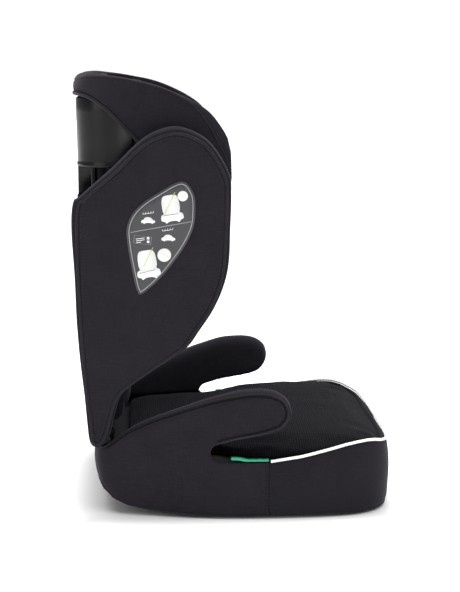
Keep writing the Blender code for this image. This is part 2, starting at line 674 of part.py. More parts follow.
def headrest_back():
    """The centre pad and the rear lip of the hood."""
    rings = []
    for scale, share in ((1.0, 0.0), (1.0, 0.5), (0.93, 0.85), (0.7, 1.0)):
        rings.append([(x * scale, 0.2010 - GAP - 0.030 * share, 0.538 + (z - 0.538) * scale)
                      for x, z in smooth([(-0.110, 0.456), (0.110, 0.456), (0.1190, 0.472), (0.1190, 0.614),
                                          (0.108, 0.632), (-0.108, 0.632), (-0.1190, 0.614),
                                          (-0.1190, 0.472)], steps=2)])
    loft("headrest_pad", rings, FABRIC, head)
    lip = []
    for x in np.linspace(-0.1500, 0.1500, 13):
        rear = REAR_Y - 0.0335 * (abs(x) / 0.150) ** 4
        front = 0.2015 if abs(x) < 0.132 else 0.1915
        lip.append((x, HEAD_SHELL_TOP + 2 * GAP, HEAD_TOP_Z, front, rear))
    bar("headrest_hood", [(x, low, high, near, far) for x, low, high, near, far in lip], "X", FABRIC, head)


headrest_back()

SHELL_PLAN = [(0.1445, 0.149), (0.1450, 0.170), (0.1420, 0.190), (0.1330, 0.207), (0.1150, 0.2205),
              (0.0920, 0.2265), (0.0600, 0.2275), (0.0, 0.2275)]


def headrest_shell():
    """The moulded U-shaped rear shell, with a window for the release handle."""
    path = SHELL_PLAN + [(-x, y) for x, y in reversed(SHELL_PLAN[:-1])]
    path = smooth(path, closed=False, steps=3)
    run = np.gradient(path, axis=0)
    inner = path + np.stack([run[:, 1], -run[:, 0]], axis=1) / np.linalg.norm(run, axis=1)[:, None] * -WALL
    outline = list(map(tuple, path)) + list(map(tuple, inner[::-1]))
    tall = HEAD_SHELL_TOP - HEAD_SHELL_LOW
    shell = slab("headrest_shell", outline, HEAD_SHELL_LOW, tall, "Z", PLASTIC, head)
    return cut(shell, box("window", (-0.040, 0.215, 0.524), (0.040, 0.240, 0.566), PLASTIC, head))


headrest_shell()


def slider():
    """The channel that runs between the guide rails and carries the headrest."""
    back_face = REAR_Y - 0.002
    body = box("headrest_slider", (-SLIDER_HALF, SLIDER_Y, 0.240), (SLIDER_HALF, SLIDER_Y + 0.004, 0.590),
               GLOSS, head)
    for side in (-1, 1):
        low_x, high_x = sorted((side * SLIDER_HALF, side * (SLIDER_HALF - 0.004)))
        for low_z, high_z, rear in ((0.240, 0.4985, back_face), (0.480, 0.590, 0.2235)):
            flange = box("flange", (low_x, SLIDER_Y + 0.001, low_z), (high_x, rear, high_z), GLOSS, head)
            body = cut(body, flange, "UNION")
    bridge = box("bridge", (-0.042, SLIDER_Y + 0.003, 0.430), (0.042, 0.2250, 0.436), GLOSS, head)
    body = cut(body, bridge, "UNION")
    body = cut(body, cylinder("rod_hole", (0.0, ROD_Y, 0.433), 0.0034, 0.02, "Z", GLOSS, head))
    return cut(body, cylinder("pin_hole", (0.0, SLIDER_Y, PIN_Z), 0.0044, 0.02, "Y", GLOSS, head))


slider()

box("headrest_frame", (-0.1200, 0.2010, 0.458), (0.1200, SLIDER_Y - GAP, 0.594), PLASTIC, head, bevel=0.002)


def shoulder_belt_guide():
    """A green hook under a headrest wing; its slot is open towards the front."""
    outline = [(0.055, 0.4395), (0.125, 0.4395), (0.125, 0.408), (0.060, 0.408), (0.054, 0.411),
               (0.054, 0.417), (0.060, 0.419), (0.112, 0.419), (0.112, 0.429), (0.055, 0.429)]
    pair(slab("shoulder_belt_guide", outline, 0.146, 0.007, "X", GREEN, head), "shoulder_belt_guide")


shoulder_belt_guide()

# ---------------------------------------------------------------- headrest release
box("release_handle", (-0.036, ROD_Y - 0.0055, 0.530), (0.036, ROD_Y + 0.0105, 0.546),
    PLASTIC, lever, bevel=0.003)


def release_rod():
    """A turned steel rod from the handle down to the pin, with a collar under the spring."""
    profile = [(0.0, 0.5294), (0.0030, 0.5294), (0.0030, 0.404), (0.0070, 0.404), (0.0070, 0.400),
               (0.0030, 0.400), (0.0030, 0.306), (0.0, 0.306)]
    mesh = bpy.data.meshes.new("release_rod")
    mesh.from_pydata([(r, 0.0, z) for r, z in profile], [(i, i + 1) for i in range(len(profile) - 1)], [])
    turned = bpy.data.objects.new("release_rod", mesh)
    cutters.objects.link(turned)
    turned.location = (0.0, ROD_Y, 0.0)
    screw = turned.modifiers.new("turn", "SCREW")
    screw.steps = 16
    screw.render_steps = 16
    screw.use_merge_vertices = True
    screw.merge_threshold = 0.00002
    return add("release_rod", baked(turned, "release_rod"), STEEL, lever)


release_rod()


def release_spring():
    """The coil that presses the rod's collar down, away from the slider's bridge."""
    low, high, radius, wire, turns, steps = 0.4050, 0.4290, 0.0050, 0.0006, 5, 12
    count = turns * steps
    coil = [(radius * math.cos(2 * math.pi * k / steps), ROD_Y + radius * math.sin(2 * math.pi * k / steps),
             low + (high - low) * k / count) for k in range(count + 1)]
    cord("release_spring", coil, wire, STEEL, head, closed=False, sides=0)


release_spring()

cylinder("lock_pin", (0.0, RACK_Y + 0.0036 + 0.0080, PIN_Z), 0.0040, 0.0160, "Y", STEEL, latch, 16)
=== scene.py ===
"""Looks of the high-back booster seat: covers, cushions, piping, plastics and the studio."""
import math

import bmesh
import bpy
import numpy as np
from mathutils import Matrix, Vector, noise as field
from mathutils.geometry import delaunay_2d_cdt


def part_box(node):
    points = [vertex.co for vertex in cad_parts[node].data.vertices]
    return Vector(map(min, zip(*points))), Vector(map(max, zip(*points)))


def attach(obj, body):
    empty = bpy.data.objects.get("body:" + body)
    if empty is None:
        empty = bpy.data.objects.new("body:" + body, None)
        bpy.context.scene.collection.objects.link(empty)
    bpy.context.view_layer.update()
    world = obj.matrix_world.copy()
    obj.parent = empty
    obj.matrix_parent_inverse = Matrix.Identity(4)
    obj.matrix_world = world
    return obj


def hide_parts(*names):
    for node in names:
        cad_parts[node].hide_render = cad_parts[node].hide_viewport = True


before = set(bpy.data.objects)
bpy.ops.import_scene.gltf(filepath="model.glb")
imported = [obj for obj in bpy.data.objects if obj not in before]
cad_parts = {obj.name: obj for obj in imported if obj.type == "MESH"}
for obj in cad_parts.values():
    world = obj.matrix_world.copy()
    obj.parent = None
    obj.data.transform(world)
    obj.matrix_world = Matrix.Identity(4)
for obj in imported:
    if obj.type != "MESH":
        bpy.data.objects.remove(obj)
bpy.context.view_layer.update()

SIDES = (("left", 1.0), ("right", -1.0))
scene = bpy.context.scene


# ================================================================ materials
def new_material(name):
    """A material with its nodes, its links and its shader."""
    made = bpy.data.materials.new(name)
    made.use_nodes = True
    nodes = made.node_tree.nodes
    return made, nodes, made.node_tree.links, nodes["Principled BSDF"]


def coordinates(nodes, links, scale=(1.0, 1.0, 1.0)):
    """A place on the piece in its own metres, stretched by a scale."""
    place = nodes.new("ShaderNodeTexCoord")
    mapping = nodes.new("ShaderNodeMapping")
    mapping.inputs["Scale"].default_value = scale
    links.new(place.outputs["Object"], mapping.inputs["Vector"])
    return mapping.outputs["Vector"]


def noise(nodes, links, vector, scale, detail):
    """Cloudy unevenness, from 0 to 1."""
    made = nodes.new("ShaderNodeTexNoise")
    made.inputs["Scale"].default_value = scale
    made.inputs["Detail"].default_value = detail
    made.inputs["Roughness"].default_value = 0.55
    links.new(vector, made.inputs["Vector"])
    return made.outputs["Fac"]


def wave(nodes, links, vector, scale, direction, distortion):
    """Bands that follow each other along one axis."""
    made = nodes.new("ShaderNodeTexWave")
    made.wave_type = "BANDS"
    made.bands_direction = direction
    made.inputs["Scale"].default_value = scale
    made.inputs["Distortion"].default_value = distortion
    made.inputs["Detail"].default_value = 1.0
    made.inputs["Detail Scale"].default_value = 2.0
    links.new(vector, made.inputs["Vector"])
    return made.outputs["Fac"]


def combine(nodes, links, operation, a, b):
    """One step of arithmetic on outputs or plain numbers."""
    made = nodes.new("ShaderNodeMath")
    made.operation = operation
    for index, value in enumerate((a, b)):
        if isinstance(value, float):
            made.inputs[index].default_value = value
        else:
            links.new(value, made.inputs[index])
    return made.outputs[0]


def weighted(nodes, links, *terms):
    """The sum of (output, weight) terms."""
    total = None
    for output, weight in terms:
        term = combine(nodes, links, "MULTIPLY", output, weight)
        total = term if total is None else combine(nodes, links, "ADD", total, term)
    return total


def ramp(nodes, links, factor, low, high, start, end):
    """A colour that goes from low to high as the factor goes from start to end."""
    made = nodes.new("ShaderNodeValToRGB")
    made.color_ramp.elements[0].position = start
    made.color_ramp.elements[0].color = (*low, 1.0)
    made.color_ramp.elements[1].position = end
    made.color_ramp.elements[1].color = (*high, 1.0)
    links.new(factor, made.inputs["Fac"])
    return made.outputs["Color"]


def bump(nodes, links, shader, height, strength, distance, under=None):
    """Relief on a shader, on top of an earlier relief if one is given."""
    made = nodes.new("ShaderNodeBump")
    made.inputs["Strength"].default_value = strength
    made.inputs["Distance"].default_value = distance
    links.new(height, made.inputs["Height"])
    if under is not None:
        links.new(under, made.inputs["Normal"])
    links.new(made.outputs["Normal"], shader.inputs["Normal"])
    return made.outputs["Normal"]


def threads(nodes, links, along, pitch):
    """Uneven yarns: noise drawn out along one axis."""
    scale = [1.0 / pitch] * 3
    for axis in along:
        scale["XYZ".index(axis)] = 0.07 / pitch
    return noise(nodes, links, coordinates(nodes, links, scale), 1.0, 1.0)


def soft_gloss(shader, rough, mirror, sheen, tint):
    """A cloth's dull shine, with the faint light edge that its fuzz gives it."""
    shader.inputs["Roughness"].default_value = rough
    shader.inputs["Specular IOR Level"].default_value = mirror
    shader.inputs["Sheen Weight"].default_value = sheen
    shader.inputs["Sheen Roughness"].default_value = 0.40
    shader.inputs["Sheen Tint"].default_value = (*tint, 1.0)


def woven(name, low, high, thread=0.0011, sheen=0.12, rough=0.90):
    """A fine weave: two crossed sets of uneven yarns, uneven dye and a little lint."""
    made, nodes, links, shader = new_material(name)
    vector = coordinates(nodes, links)
    upright = threads(nodes, links, "Z", thread)
    level = threads(nodes, links, "XY", thread)
    grid = wave(nodes, links, vector, math.tau / thread / 20.0, "Z", 2.6)
    cloth = combine(nodes, links, "ADD", upright, level)
    dye = noise(nodes, links, vector, 24.0, 4.0)
    lint = noise(nodes, links, vector, 700.0, 2.0)
    mixed = weighted(nodes, links, (cloth, 0.30), (dye, 0.25), (lint, 0.15))
    links.new(ramp(nodes, links, mixed, low, high, 0.30, 0.72), shader.inputs["Base Color"])
    soft_gloss(shader, rough, 0.16, sheen, (0.80, 0.74, 0.90))
    folds = bump(nodes, links, shader, dye, 0.10, 0.004)
    height = combine(nodes, links, "ADD", cloth, combine(nodes, links, "MULTIPLY", grid, 0.35))
    bump(nodes, links, shader, height, 0.45, 0.0004, folds)
    return made


def ribbed(name, low, high):
    """A three-dimensional spacer mesh: raised ribs across the seat with rows of small holes."""
    rib = 0.0034
    made, nodes, links, shader = new_material(name)
    vector = coordinates(nodes, links)
    per_metre = math.tau / rib / 20.0
    ribs = wave(nodes, links, vector, per_metre, "Y", 0.35)
    cross = wave(nodes, links, vector, per_metre * 1.6, "X", 0.5)
    rise = wave(nodes, links, vector, per_metre * 1.6, "Z", 0.5)
    holes = nodes.new("ShaderNodeTexVoronoi")
    holes.inputs["Scale"].default_value = 0.62 / rib
    links.new(vector, holes.inputs["Vector"])
    knots = combine(nodes, links, "ADD", cross, rise)
    body = weighted(nodes, links, (ribs, 0.75), (knots, 0.16), (holes.outputs["Distance"], 0.25))
    dye = noise(nodes, links, vector, 18.0, 4.0)
    mixed = weighted(nodes, links, (body, 0.62), (dye, 0.40))
    links.new(ramp(nodes, links, mixed, low, high, 0.20, 0.85), shader.inputs["Base Color"])
    soft_gloss(shader, 0.82, 0.08, 0.05, (0.78, 0.76, 0.85))
    bump(nodes, links, shader, body, 0.75, 0.0011)
    return made


def moulded(name, low, high, rough, grain=900.0, strength=0.10, metallic=0.0, mirror=0.5):
    """Moulded plastic or metal with a fine grain and a faint unevenness of gloss."""
    made, nodes, links, shader = new_material(name)
    vector = coordinates(nodes, links)
    speck = noise(nodes, links, vector, grain, 2.0)
    cloud = noise(nodes, links, vector, 14.0, 3.0)
    links.new(ramp(nodes, links, cloud, low, high, 0.30, 0.75), shader.inputs["Base Color"])
    gloss = nodes.new("ShaderNodeMapRange")
    gloss.inputs["To Min"].default_value = rough - 0.05
    gloss.inputs["To Max"].default_value = rough + 0.07
    links.new(cloud, gloss.inputs["Value"])
    links.new(gloss.outputs["Result"], shader.inputs["Roughness"])
    shader.inputs["Metallic"].default_value = metallic
    shader.inputs["Specular IOR Level"].default_value = mirror
    bump(nodes, links, shader, speck, strength, 0.0003)
    return made


PANEL = woven("panel_weave", (0.0080, 0.0070, 0.0098), (0.0185, 0.0165, 0.0215))
BAND = woven("band_weave", (0.0075, 0.0066, 0.0090), (0.0165, 0.0148, 0.0190), thread=0.0009)
INNER = woven("inner_weave", (0.0050, 0.0045, 0.0062), (0.0125, 0.0115, 0.0150), thread=0.0013,
              sheen=0.08)
PIPING = woven("piping_weave", (0.0085, 0.0078, 0.0100), (0.0240, 0.0220, 0.0270), thread=0.0007,
               sheen=0.20)
MESH = ribbed("rib_mesh", (0.0010, 0.0008, 0.0013), (0.0068, 0.0059, 0.0086))
THREAD = woven("sewing_thread", (0.010, 0.009, 0.012), (0.034, 0.031, 0.038), thread=0.0004,
               rough=0.60)
# Near-black cloth for the cords laid beside piping: painted shade of the seams' grooves.
SHADE = woven("seam_shade", (0.0020, 0.0018, 0.0024), (0.0050, 0.0045, 0.0058), thread=0.0006,
              sheen=0.02)
WHITE = woven("white_piping_weave", (0.88, 0.88, 0.88), (0.97, 0.97, 0.96), thread=0.0007, sheen=0.05)
SATIN = moulded("satin_black_plastic", (0.0036, 0.0034, 0.0042), (0.0052, 0.0049, 0.0060), 0.30,
                strength=0.05, mirror=0.25)
DULL = moulded("dull_black_plastic", (0.0045, 0.0044, 0.0050), (0.0085, 0.0083, 0.0094), 0.55,
               strength=0.20, mirror=0.22)
GLOSSY = moulded("gloss_black_plastic", (0.003, 0.003, 0.004), (0.005, 0.005, 0.006), 0.12,
                 strength=0.03, mirror=0.30)
GREEN = moulded("green_plastic", (0.008, 0.340, 0.170), (0.014, 0.430, 0.220), 0.36)
STEEL = moulded("brushed_steel", (0.42, 0.42, 0.44), (0.60, 0.60, 0.62), 0.28, grain=400.0, metallic=1.0)
RUBBER = moulded("foot_rubber", (0.010, 0.010, 0.010), (0.020, 0.020, 0.020), 0.78, grain=300.0,
                 strength=0.35)
LABEL = moulded("label_film", (0.026, 0.026, 0.029), (0.036, 0.036, 0.040), 0.45, strength=0.04)
PRINT = moulded("label_ink", (0.80, 0.81, 0.80), (0.90, 0.91, 0.90), 0.50, strength=0.04)
GREY_INK = moulded("label_grey_ink", (0.26, 0.26, 0.27), (0.34, 0.34, 0.35), 0.50, strength=0.04)
LIME = moulded("label_green_ink", (0.42, 0.62, 0.06), (0.52, 0.70, 0.10), 0.50, strength=0.04)


# ================================================================ shapes
def smooth(points, closed=True, steps=6):
    """A Catmull-Rom curve through a few points, as a denser array."""
    p = np.array(points, float)
    count = len(p)
    out = []
    for i in range(count if closed else count - 1):
        if closed:
            a, b, c, d = p[i - 1], p[i], p[(i + 1) % count], p[(i + 2) % count]
        else:
            a, b, c, d = p[max(i - 1, 0)], p[i], p[i + 1], p[min(i + 2, count - 1)]
        for k in range(steps):
            t = k / steps
            out.append(0.5 * (2 * b + (c - a) * t + (2 * a - 5 * b + 4 * c - d) * t * t
                              + (3 * b - a - 3 * c + d) * t ** 3))
    if not closed:
        out.append(p[-1])
    return np.array(out)


def interp(value, places, heights):
    """A soft interpolation: cosine-eased between the given places."""
    places, heights = list(places), list(heights)
    if value <= places[0]:
        return heights[0]
    for a, b, u, v in zip(places, places[1:], heights, heights[1:]):
        if value <= b:
            t = (value - a) / (b - a)
            return u + (v - u) * (t * 0.5 + 0.25 * (1 - math.cos(math.pi * t)))
    return heights[-1]


def curve_at(value, line):
    """The height of a smooth line through a few (place, height) points."""
    points = smooth(line, closed=False, steps=6)
    return float(np.interp(value, points[:, 0], points[:, 1]))


def length_along(path):
    """The distance run along a line at each of its points."""
    return np.concatenate([[0.0], np.cumsum(np.linalg.norm(np.diff(path, axis=0), axis=1))])


def at_ticks(path, ticks):
    """The places on a flat line at the given distances along it."""
    run = length_along(path)
    return np.stack([np.interp(ticks, run, path[:, k]) for k in (0, 1)], axis=1)


def evenly(points, step):
    """A closed outline with evenly spaced points."""
    path = np.vstack([points, points[:1]])
    run = length_along(path)
    return at_ticks(path, np.linspace(0.0, run[-1], int(run[-1] / step) + 1)[:-1])


def inward_normals(path):
    """The direction inwards at each point of a line round the plan from left to right."""
    run = np.gradient(path, axis=0)
    across = np.stack([run[:, 1], -run[:, 0]], axis=1)
    return across / np.linalg.norm(across, axis=1)[:, None]


def left_to_right(side):
    """A line from the child's left to the middle plane, carried on to the right as its mirror image."""
    return np.concatenate([side, (side[::-1] * (-1.0, 1.0))[1:]])


def right_to_left(side):
    """A line from the middle plane to the child's left, begun on the right as its mirror image."""
    return np.concatenate([side[::-1] * (-1.0, 1.0), side[1:]])


def stood_along(path, sections):
    """Rings from (distance inwards, height) sections stood on a line of the plan."""
    return [[(x + nx * d, y + ny * d, z) for d, z in section]
            for (x, y), (nx, ny), section in zip(path, inward_normals(path), sections)]


def line_along(path, places):
    """A line in space that follows the plan, from one (distance inwards, height) per point."""
    return [ring[0] for ring in stood_along(path, [[place] for place in places])]


def link(name, mesh, finish):
    """A mesh as an object of the scene, in its material."""
    made = bpy.data.objects.new(name, mesh)
    scene.collection.objects.link(made)
    mesh.materials.clear()
    mesh.materials.append(finish)
    mesh.shade_smooth()
    return made


def finished(work, name, finish):
    """The mesh being worked on, with its faces turned outwards, as an object of the scene."""
    bmesh.ops.recalc_face_normals(work, faces=work.faces)
    mesh = bpy.data.meshes.new(name)
    work.to_mesh(mesh)
    work.free()
    return link(name, mesh, finish)


def joined(work, one, other):
    """A band of faces between two closed rows of vertices."""
    for i in range(len(one)):
        j = (i + 1) % len(one)
        work.faces.new((one[i], one[j], other[j], other[i]))


def patched(work, row, flat, place, step):
    """Closes a row of vertices with an even net; place turns the flat outline's plane into space."""
    low, high = np.min(flat, axis=0), np.max(flat, axis=0)
    inner = []
    for a in np.arange(low[0] + step / 2, high[0], step):
        for b in np.arange(low[1] + step / 2, high[1], step):
            gaps = flat - (a, b)
            if np.min(np.sum(gaps * gaps, axis=1)) > (step * 0.6) ** 2 and inside((a, b), flat):
                inner.append((a, b))
    count = len(flat)
    points = [Vector(point) for point in flat] + [Vector(point) for point in inner]
    outline = [(i, (i + 1) % count) for i in range(count)]
    net = delaunay_2d_cdt(points, outline, [], 1, 1e-7)
    verts = [row[old[0]] if old and old[0] < count else work.verts.new(Vector(place(*spot)))
             for spot, old in zip(net[0], net[3])]
    for face in net[2]:
        work.faces.new([verts[i] for i in face])


def inside(spot, outline):
    """Whether a place lies inside a closed outline."""
    crossed = False
    for (a, b), (c, d) in zip(outline, np.roll(outline, -1, axis=0)):
        if (b > spot[1]) != (d > spot[1]) and spot[0] < (c - a) * (spot[1] - b) / (d - b) + a:
            crossed = not crossed
    return crossed


def fan(work, row):
    """Closes a row of vertices with triangles round its centre."""
    centre = work.verts.new(sum((v.co for v in row), Vector()) / len(row))
    for i in range(len(row)):
        work.faces.new((row[i], row[(i + 1) % len(row)], centre))


def loft(name, rings, finish, patch=None):
    """A skin over closed rings of equal count; patch is what patched() needs to close the last ring."""
    work = bmesh.new()
    rows = [[work.verts.new(Vector(point)) for point in ring] for ring in rings]
    for one, other in zip(rows, rows[1:]):
        joined(work, one, other)
    if patch is None:
        fan(work, rows[-1])
    else:
        patched(work, rows[-1], *patch)
    fan(work, rows[0])
    return finished(work, name, finish)


def tube(name, points, radius, finish, closed=False, resolution=3):
    """A round cord along a line."""
    curve = bpy.data.curves.new(name, "CURVE")
    curve.dimensions = "3D"
    curve.bevel_depth = radius
    curve.bevel_resolution = resolution
    curve.use_fill_caps = not closed
    spline = curve.splines.new("POLY")
    spline.points.add(len(points) - 1)
    spline.use_cyclic_u = closed
    for point, place in zip(spline.points, points):
        point.co = (*place, 1.0)
    curve.materials.append(finish)
    made = bpy.data.objects.new(name, curve)
    scene.collection.objects.link(made)
    return made


def stitches(name, points, radius=0.00042):
    """A row of separate sewn stitches along a line: short rounded threads."""
    length, gap = 0.0030, 0.0017
    path = np.array(points)
    run = length_along(path)
    work = bmesh.new()
    at = gap
    while at + length < run[-1]:
        ends = [Vector([np.interp(t, run, path[:, k]) for k in range(3)]) for t in (at, at + length)]
        along = (ends[1] - ends[0]).normalized()
        side = along.orthogonal().normalized()
        over = along.cross(side)
        rows = []
        for t, r in ((0.0, 0.35), (0.15, 0.9), (0.5, 1.0), (0.85, 0.9), (1.0, 0.35)):
            middle = ends[0].lerp(ends[1], t)
            rows.append([work.verts.new(middle + (side * math.cos(a) + over * math.sin(a)) * radius * r)
                         for a in np.arange(0.0, math.tau - 0.1, math.tau / 6)])
        for one, other in zip(rows, rows[1:]):
            joined(work, one, other)
        work.faces.new(rows[0])
        work.faces.new(rows[-1])
        at += length + gap
    return finished(work, name, THREAD)


def applied(piece):
    """The piece with its modifiers made real."""
    bpy.context.view_layer.update()
    seen = piece.evaluated_get(bpy.context.evaluated_depsgraph_get())
    mesh = bpy.data.meshes.new_from_object(seen)
    piece.modifiers.clear()
    piece.data = mesh
    mesh.shade_smooth()
    return piece


def modifier(piece, kind, **values):
    """Adds a modifier with its values set."""
    made = piece.modifiers.new(kind.lower(), kind)
    for key, value in values.items():
        setattr(made, key, value)
    return made


def remeshed(piece, voxel, rounds):
    """One even skin, with its corners softened."""
    modifier(piece, "REMESH", mode="VOXEL", voxel_size=voxel, use_smooth_shade=True)
    modifier(piece, "SMOOTH", factor=0.5, iterations=rounds)
    applied(piece)


def cut(piece, cutter):
    """Takes one piece's space away from another, and removes it."""
    modifier(piece, "BOOLEAN", operation="DIFFERENCE", object=cutter, solver="EXACT")
    applied(piece)
    bpy.data.objects.remove(cutter, do_unlink=True)


def mirrored(piece, name):
    """The same piece on the child's other side."""
    made = piece.copy()
    made.name = name
    made.data = piece.data.copy()
    scene.collection.objects.link(made)
    if made.type == "CURVE":
        for point in made.data.splines[0].points:
            point.co.x = -point.co.x
        return made
    made.data.transform(Matrix.Scale(-1.0, 4, (1.0, 0.0, 0.0)))
    made.data.flip_normals()
    return made


def both(piece, stem, body, *nodes):
    """Names a left piece, adds its right copy, and lets both ride and stand for their nodes."""
    piece.name = stem + "_left"
    pieces = (piece, mirrored(piece, stem + "_right"))
    for (word, _), each in zip(SIDES, pieces):
        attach(each, body)
        if nodes:
            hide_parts(*[f"{node}_{word}" for node in nodes])
    return pieces


def ripple(piece, amount, size, seed):
    """Moves the surface in and out a little, as cloth over foam does."""
    mesh = piece.data
    mesh.update()
    normals = [v.normal.copy() for v in mesh.vertices]
    for vertex, normal in zip(mesh.vertices, normals):
        place = vertex.co / size + Vector((seed, seed, seed))
        vertex.co += normal * (field.noise(place) * amount)


def puffed(piece, voxel, pressure, most, hold):
    """Fills a cushion by cloth simulation; hold says which points stay, and none moves further than most."""
    frames = 20
    modifier(piece, "REMESH", mode="VOXEL", voxel_size=voxel, use_smooth_shade=True)
    applied(piece)
    start = np.array([v.co for v in piece.data.vertices])
    group = piece.vertex_groups.new(name="held")
    group.add([index for index, place in enumerate(start) if hold(place)], 1.0, "REPLACE")
    cloth = modifier(piece, "CLOTH")
    cloth.settings.use_pressure = True
    cloth.settings.uniform_pressure_force = pressure
    cloth.settings.effector_weights.gravity = 0.0
    cloth.settings.tension_stiffness = 15.0
    cloth.settings.bending_stiffness = 0.6
    cloth.settings.quality = 4
    cloth.collision_settings.use_collision = False
    cloth.settings.vertex_group_mass = "held"
    cloth.point_cache.frame_start = 1
    cloth.point_cache.frame_end = frames
    for frame_number in range(1, frames + 1):
        scene.frame_set(frame_number)
    applied(piece)
    scene.frame_set(1)
    for vertex, place in zip(piece.data.vertices, start):
        move = np.array(vertex.co) - place
        length = float(np.linalg.norm(move))
        if length > most:
            vertex.co = Vector(place + move * (most / length))
    modifier(piece, "SMOOTH", factor=0.5, iterations=4)
    modifier(piece, "SUBSURF", levels=1, render_levels=1)
    return applied(piece)


# ================================================================ base: driving values from the frame
BAND_LOW, BAND_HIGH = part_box("front_band")
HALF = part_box("side_panel_left")[1].x - 0.0009    # half the base's width
FRONT_Y = BAND_LOW.y
REAR_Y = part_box("rear_cover")[1].y - 0.0003
SEAM_Y = BAND_HIGH.y                              # seam between the side cover and the front band
SEAT_REAR_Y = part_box("seat_cushion")[1].y

PLAN_HALF = [(0.0, REAR_Y), (0.100, REAR_Y), (0.158, REAR_Y - 0.004), (0.184, REAR_Y - 0.024), (0.200, 0.130),
             (0.216, 0.060), (HALF - 0.0003, 0.0), (HALF, -0.080), (0.2195, -0.135), (0.209, -0.178),
             (0.187, -0.209), (0.155, -0.2258), (0.106, FRONT_Y + 0.0013), (0.050, FRONT_Y + 0.0002),
             (0.0, FRONT_Y)]
half_plan = smooth(PLAN_HALF, closed=False, steps=40)
BAND_TOP = ((-0.2315, -0.2146, -0.203, -0.190, -0.174, -0.155, -0.127, -0.090, -0.045, 0.030, 0.060, 0.20),
            (0.0975, 0.1025, 0.1062, 0.1080, 0.1076, 0.1052, 0.0992, 0.0909, 0.0845, 0.0865, 0.0930, 0.0935))


def band_top(y):
    """Height of the front band's upper edge."""
    return float(np.interp(y, *BAND_TOP))


def band_low(y):
    """Height of the base's lower edge, which rises towards the rear."""
    return interp(y, (0.050, 0.100, 0.130, 0.160, 0.180, 0.195, 0.208),
                  (0.0, 0.003, 0.006, 0.011, 0.019, 0.030, 0.042))


def plan_path(first, last, step):
    """Evenly spaced places on the child's left of the plan, from one y down to another."""
    part = half_plan[(half_plan[:, 1] <= first) & (half_plan[:, 1] >= last)]
    whole = length_along(part)[-1]
    return at_ticks(part, np.linspace(0.0, whole, max(2, int(whole / step)) + 1))


def rolled_foot(low):
    """The lower edge of a side's section, from the hidden underside round to the outer wall."""
    return [(0.0085, low + 0.001), (0.004, low + 0.0045), (0.0015, low + 0.0105), (0.0004, low + 0.020)]


# ---------------------------------------------------------------- side and rear cover with armrests
REAR_TOP = 0.0935                     # the cover's top edge behind the armrests
ARM_TOP = ((-0.0760, 0.1560), (-0.0745, 0.1650), (-0.0690, 0.1740), (-0.0580, 0.1820), (-0.0430, 0.1867),
           (-0.0250, 0.1878), (0.0, 0.1862), (0.0300, 0.1790), (0.0545, 0.1712), (0.1000, 0.1545),
           (0.1400, 0.1375), (0.1650, 0.1230), (0.1850, 0.1090), (0.1960, 0.1000), (0.2040, 0.0945))
ARM_WIDE = ((-0.0760, 0.022), (-0.0700, 0.034), (-0.0500, 0.039), (0.0, 0.040), (0.140, 0.040),
            (0.175, 0.034), (0.200, 0.012), (0.206, 0.008))


def cover_section(y):
    """The cover's section at a place on the plan: outer wall, rolled top and inner face."""
    low = band_low(y) + 0.0015
    top = max(curve_at(y, ARM_TOP), REAR_TOP)
    wide = interp(y, *zip(*ARM_WIDE))
    radius = min(wide * 0.5, 0.017, max(0.003, (top - REAR_TOP) * 0.5 + 0.003))
    section = [(0.014, low)] + rolled_foot(low)
    straight = top - radius
    section += [(0.0004 - 0.0010 * math.sin(math.pi * t), low + 0.020 + (straight - low - 0.020) * t)
                for t in np.linspace(0.08, 1.0, 12)]
    section += [(radius - radius * math.cos(a), straight + radius * math.sin(a))
                for a in np.linspace(0.15, math.pi / 2, 6)]
    section += [(wide - radius + radius * math.sin(a), straight + radius * math.cos(a))
                for a in np.linspace(0.0, math.pi / 2, 6)]
    under = min(0.098, straight - 0.001)
    section += [(wide, straight + (under - straight) * t) for t in np.linspace(0.1, 1.0, 8)]
    foot = min(wide, 0.0062)
    section += [(foot + (wide - foot) * 0.5, under - 0.0015), (foot, under - 0.003)]
    section += [(foot, under - 0.003 + (low + 0.016 - under + 0.003) * t) for t in np.linspace(0.15, 1.0, 6)]
    return section + [(0.0105, low + 0.009), (0.0145, low + 0.005)]


def belt_gap_cutter():
    """What is cut away in front of the side wall and under the armrests."""
    gap = smooth([(0.0150, 0.0850), (0.0290, 0.0853), (0.0375, 0.0895), (0.0405, 0.0970), (0.0390, 0.1045),
                  (0.0310, 0.1100), (0.0015, 0.1178), (-0.0300, 0.1228), (-0.0560, 0.1290), (-0.0680, 0.1385),
                  (-0.0745, 0.1500)], closed=False, steps=5)
    ahead, seam = -0.110, SEAM_Y + 0.0008
    outline = [(ahead, -0.030), (seam, -0.030), (seam, 0.0850), *gap, (-0.0780, 0.1620), (ahead, 0.1620)]
    return loft("belt_gap", [[(x, y, z) for y, z in outline] for x in (-0.30, 0.30)], PANEL)


def base_cover():
    """One fabric cover: both side walls, the rear and the two armrests."""
    step, tip = 0.004, -0.0758
    rear = plan_path(REAR_Y + 1.0, SEAM_Y, step)
    x, y = rear[-1]
    ahead = [(x + 0.00001 * k, y - step * k) for k in range(1, 9) if y - step * k > tip]
    side = np.array([*rear, *ahead, (x, tip)])
    path = right_to_left(side)
    cover = loft("base_cover", stood_along(path, [cover_section(y) for y in path[:, 1]]), PANEL)
    cut(cover, belt_gap_cutter())
    remeshed(cover, 0.0028, 10)
    ripple(cover, 0.0009, 0.045, 3.0)
    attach(cover, "base")
    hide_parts("rear_cover", "side_panel_left", "side_panel_right", "armrest_cover_left",
                "armrest_cover_right")
    return cover


BASE_SKIN = base_cover()


def shoulder(y, z):
    """How far the band's wall has turned inwards at a height, more so round the front."""
    share = min(1.0, max(0.0, (z - 0.045) / 0.060))
    return share ** 2.5 * float(np.interp(y, (-0.215, -0.120), (0.0046, 0.0012)))


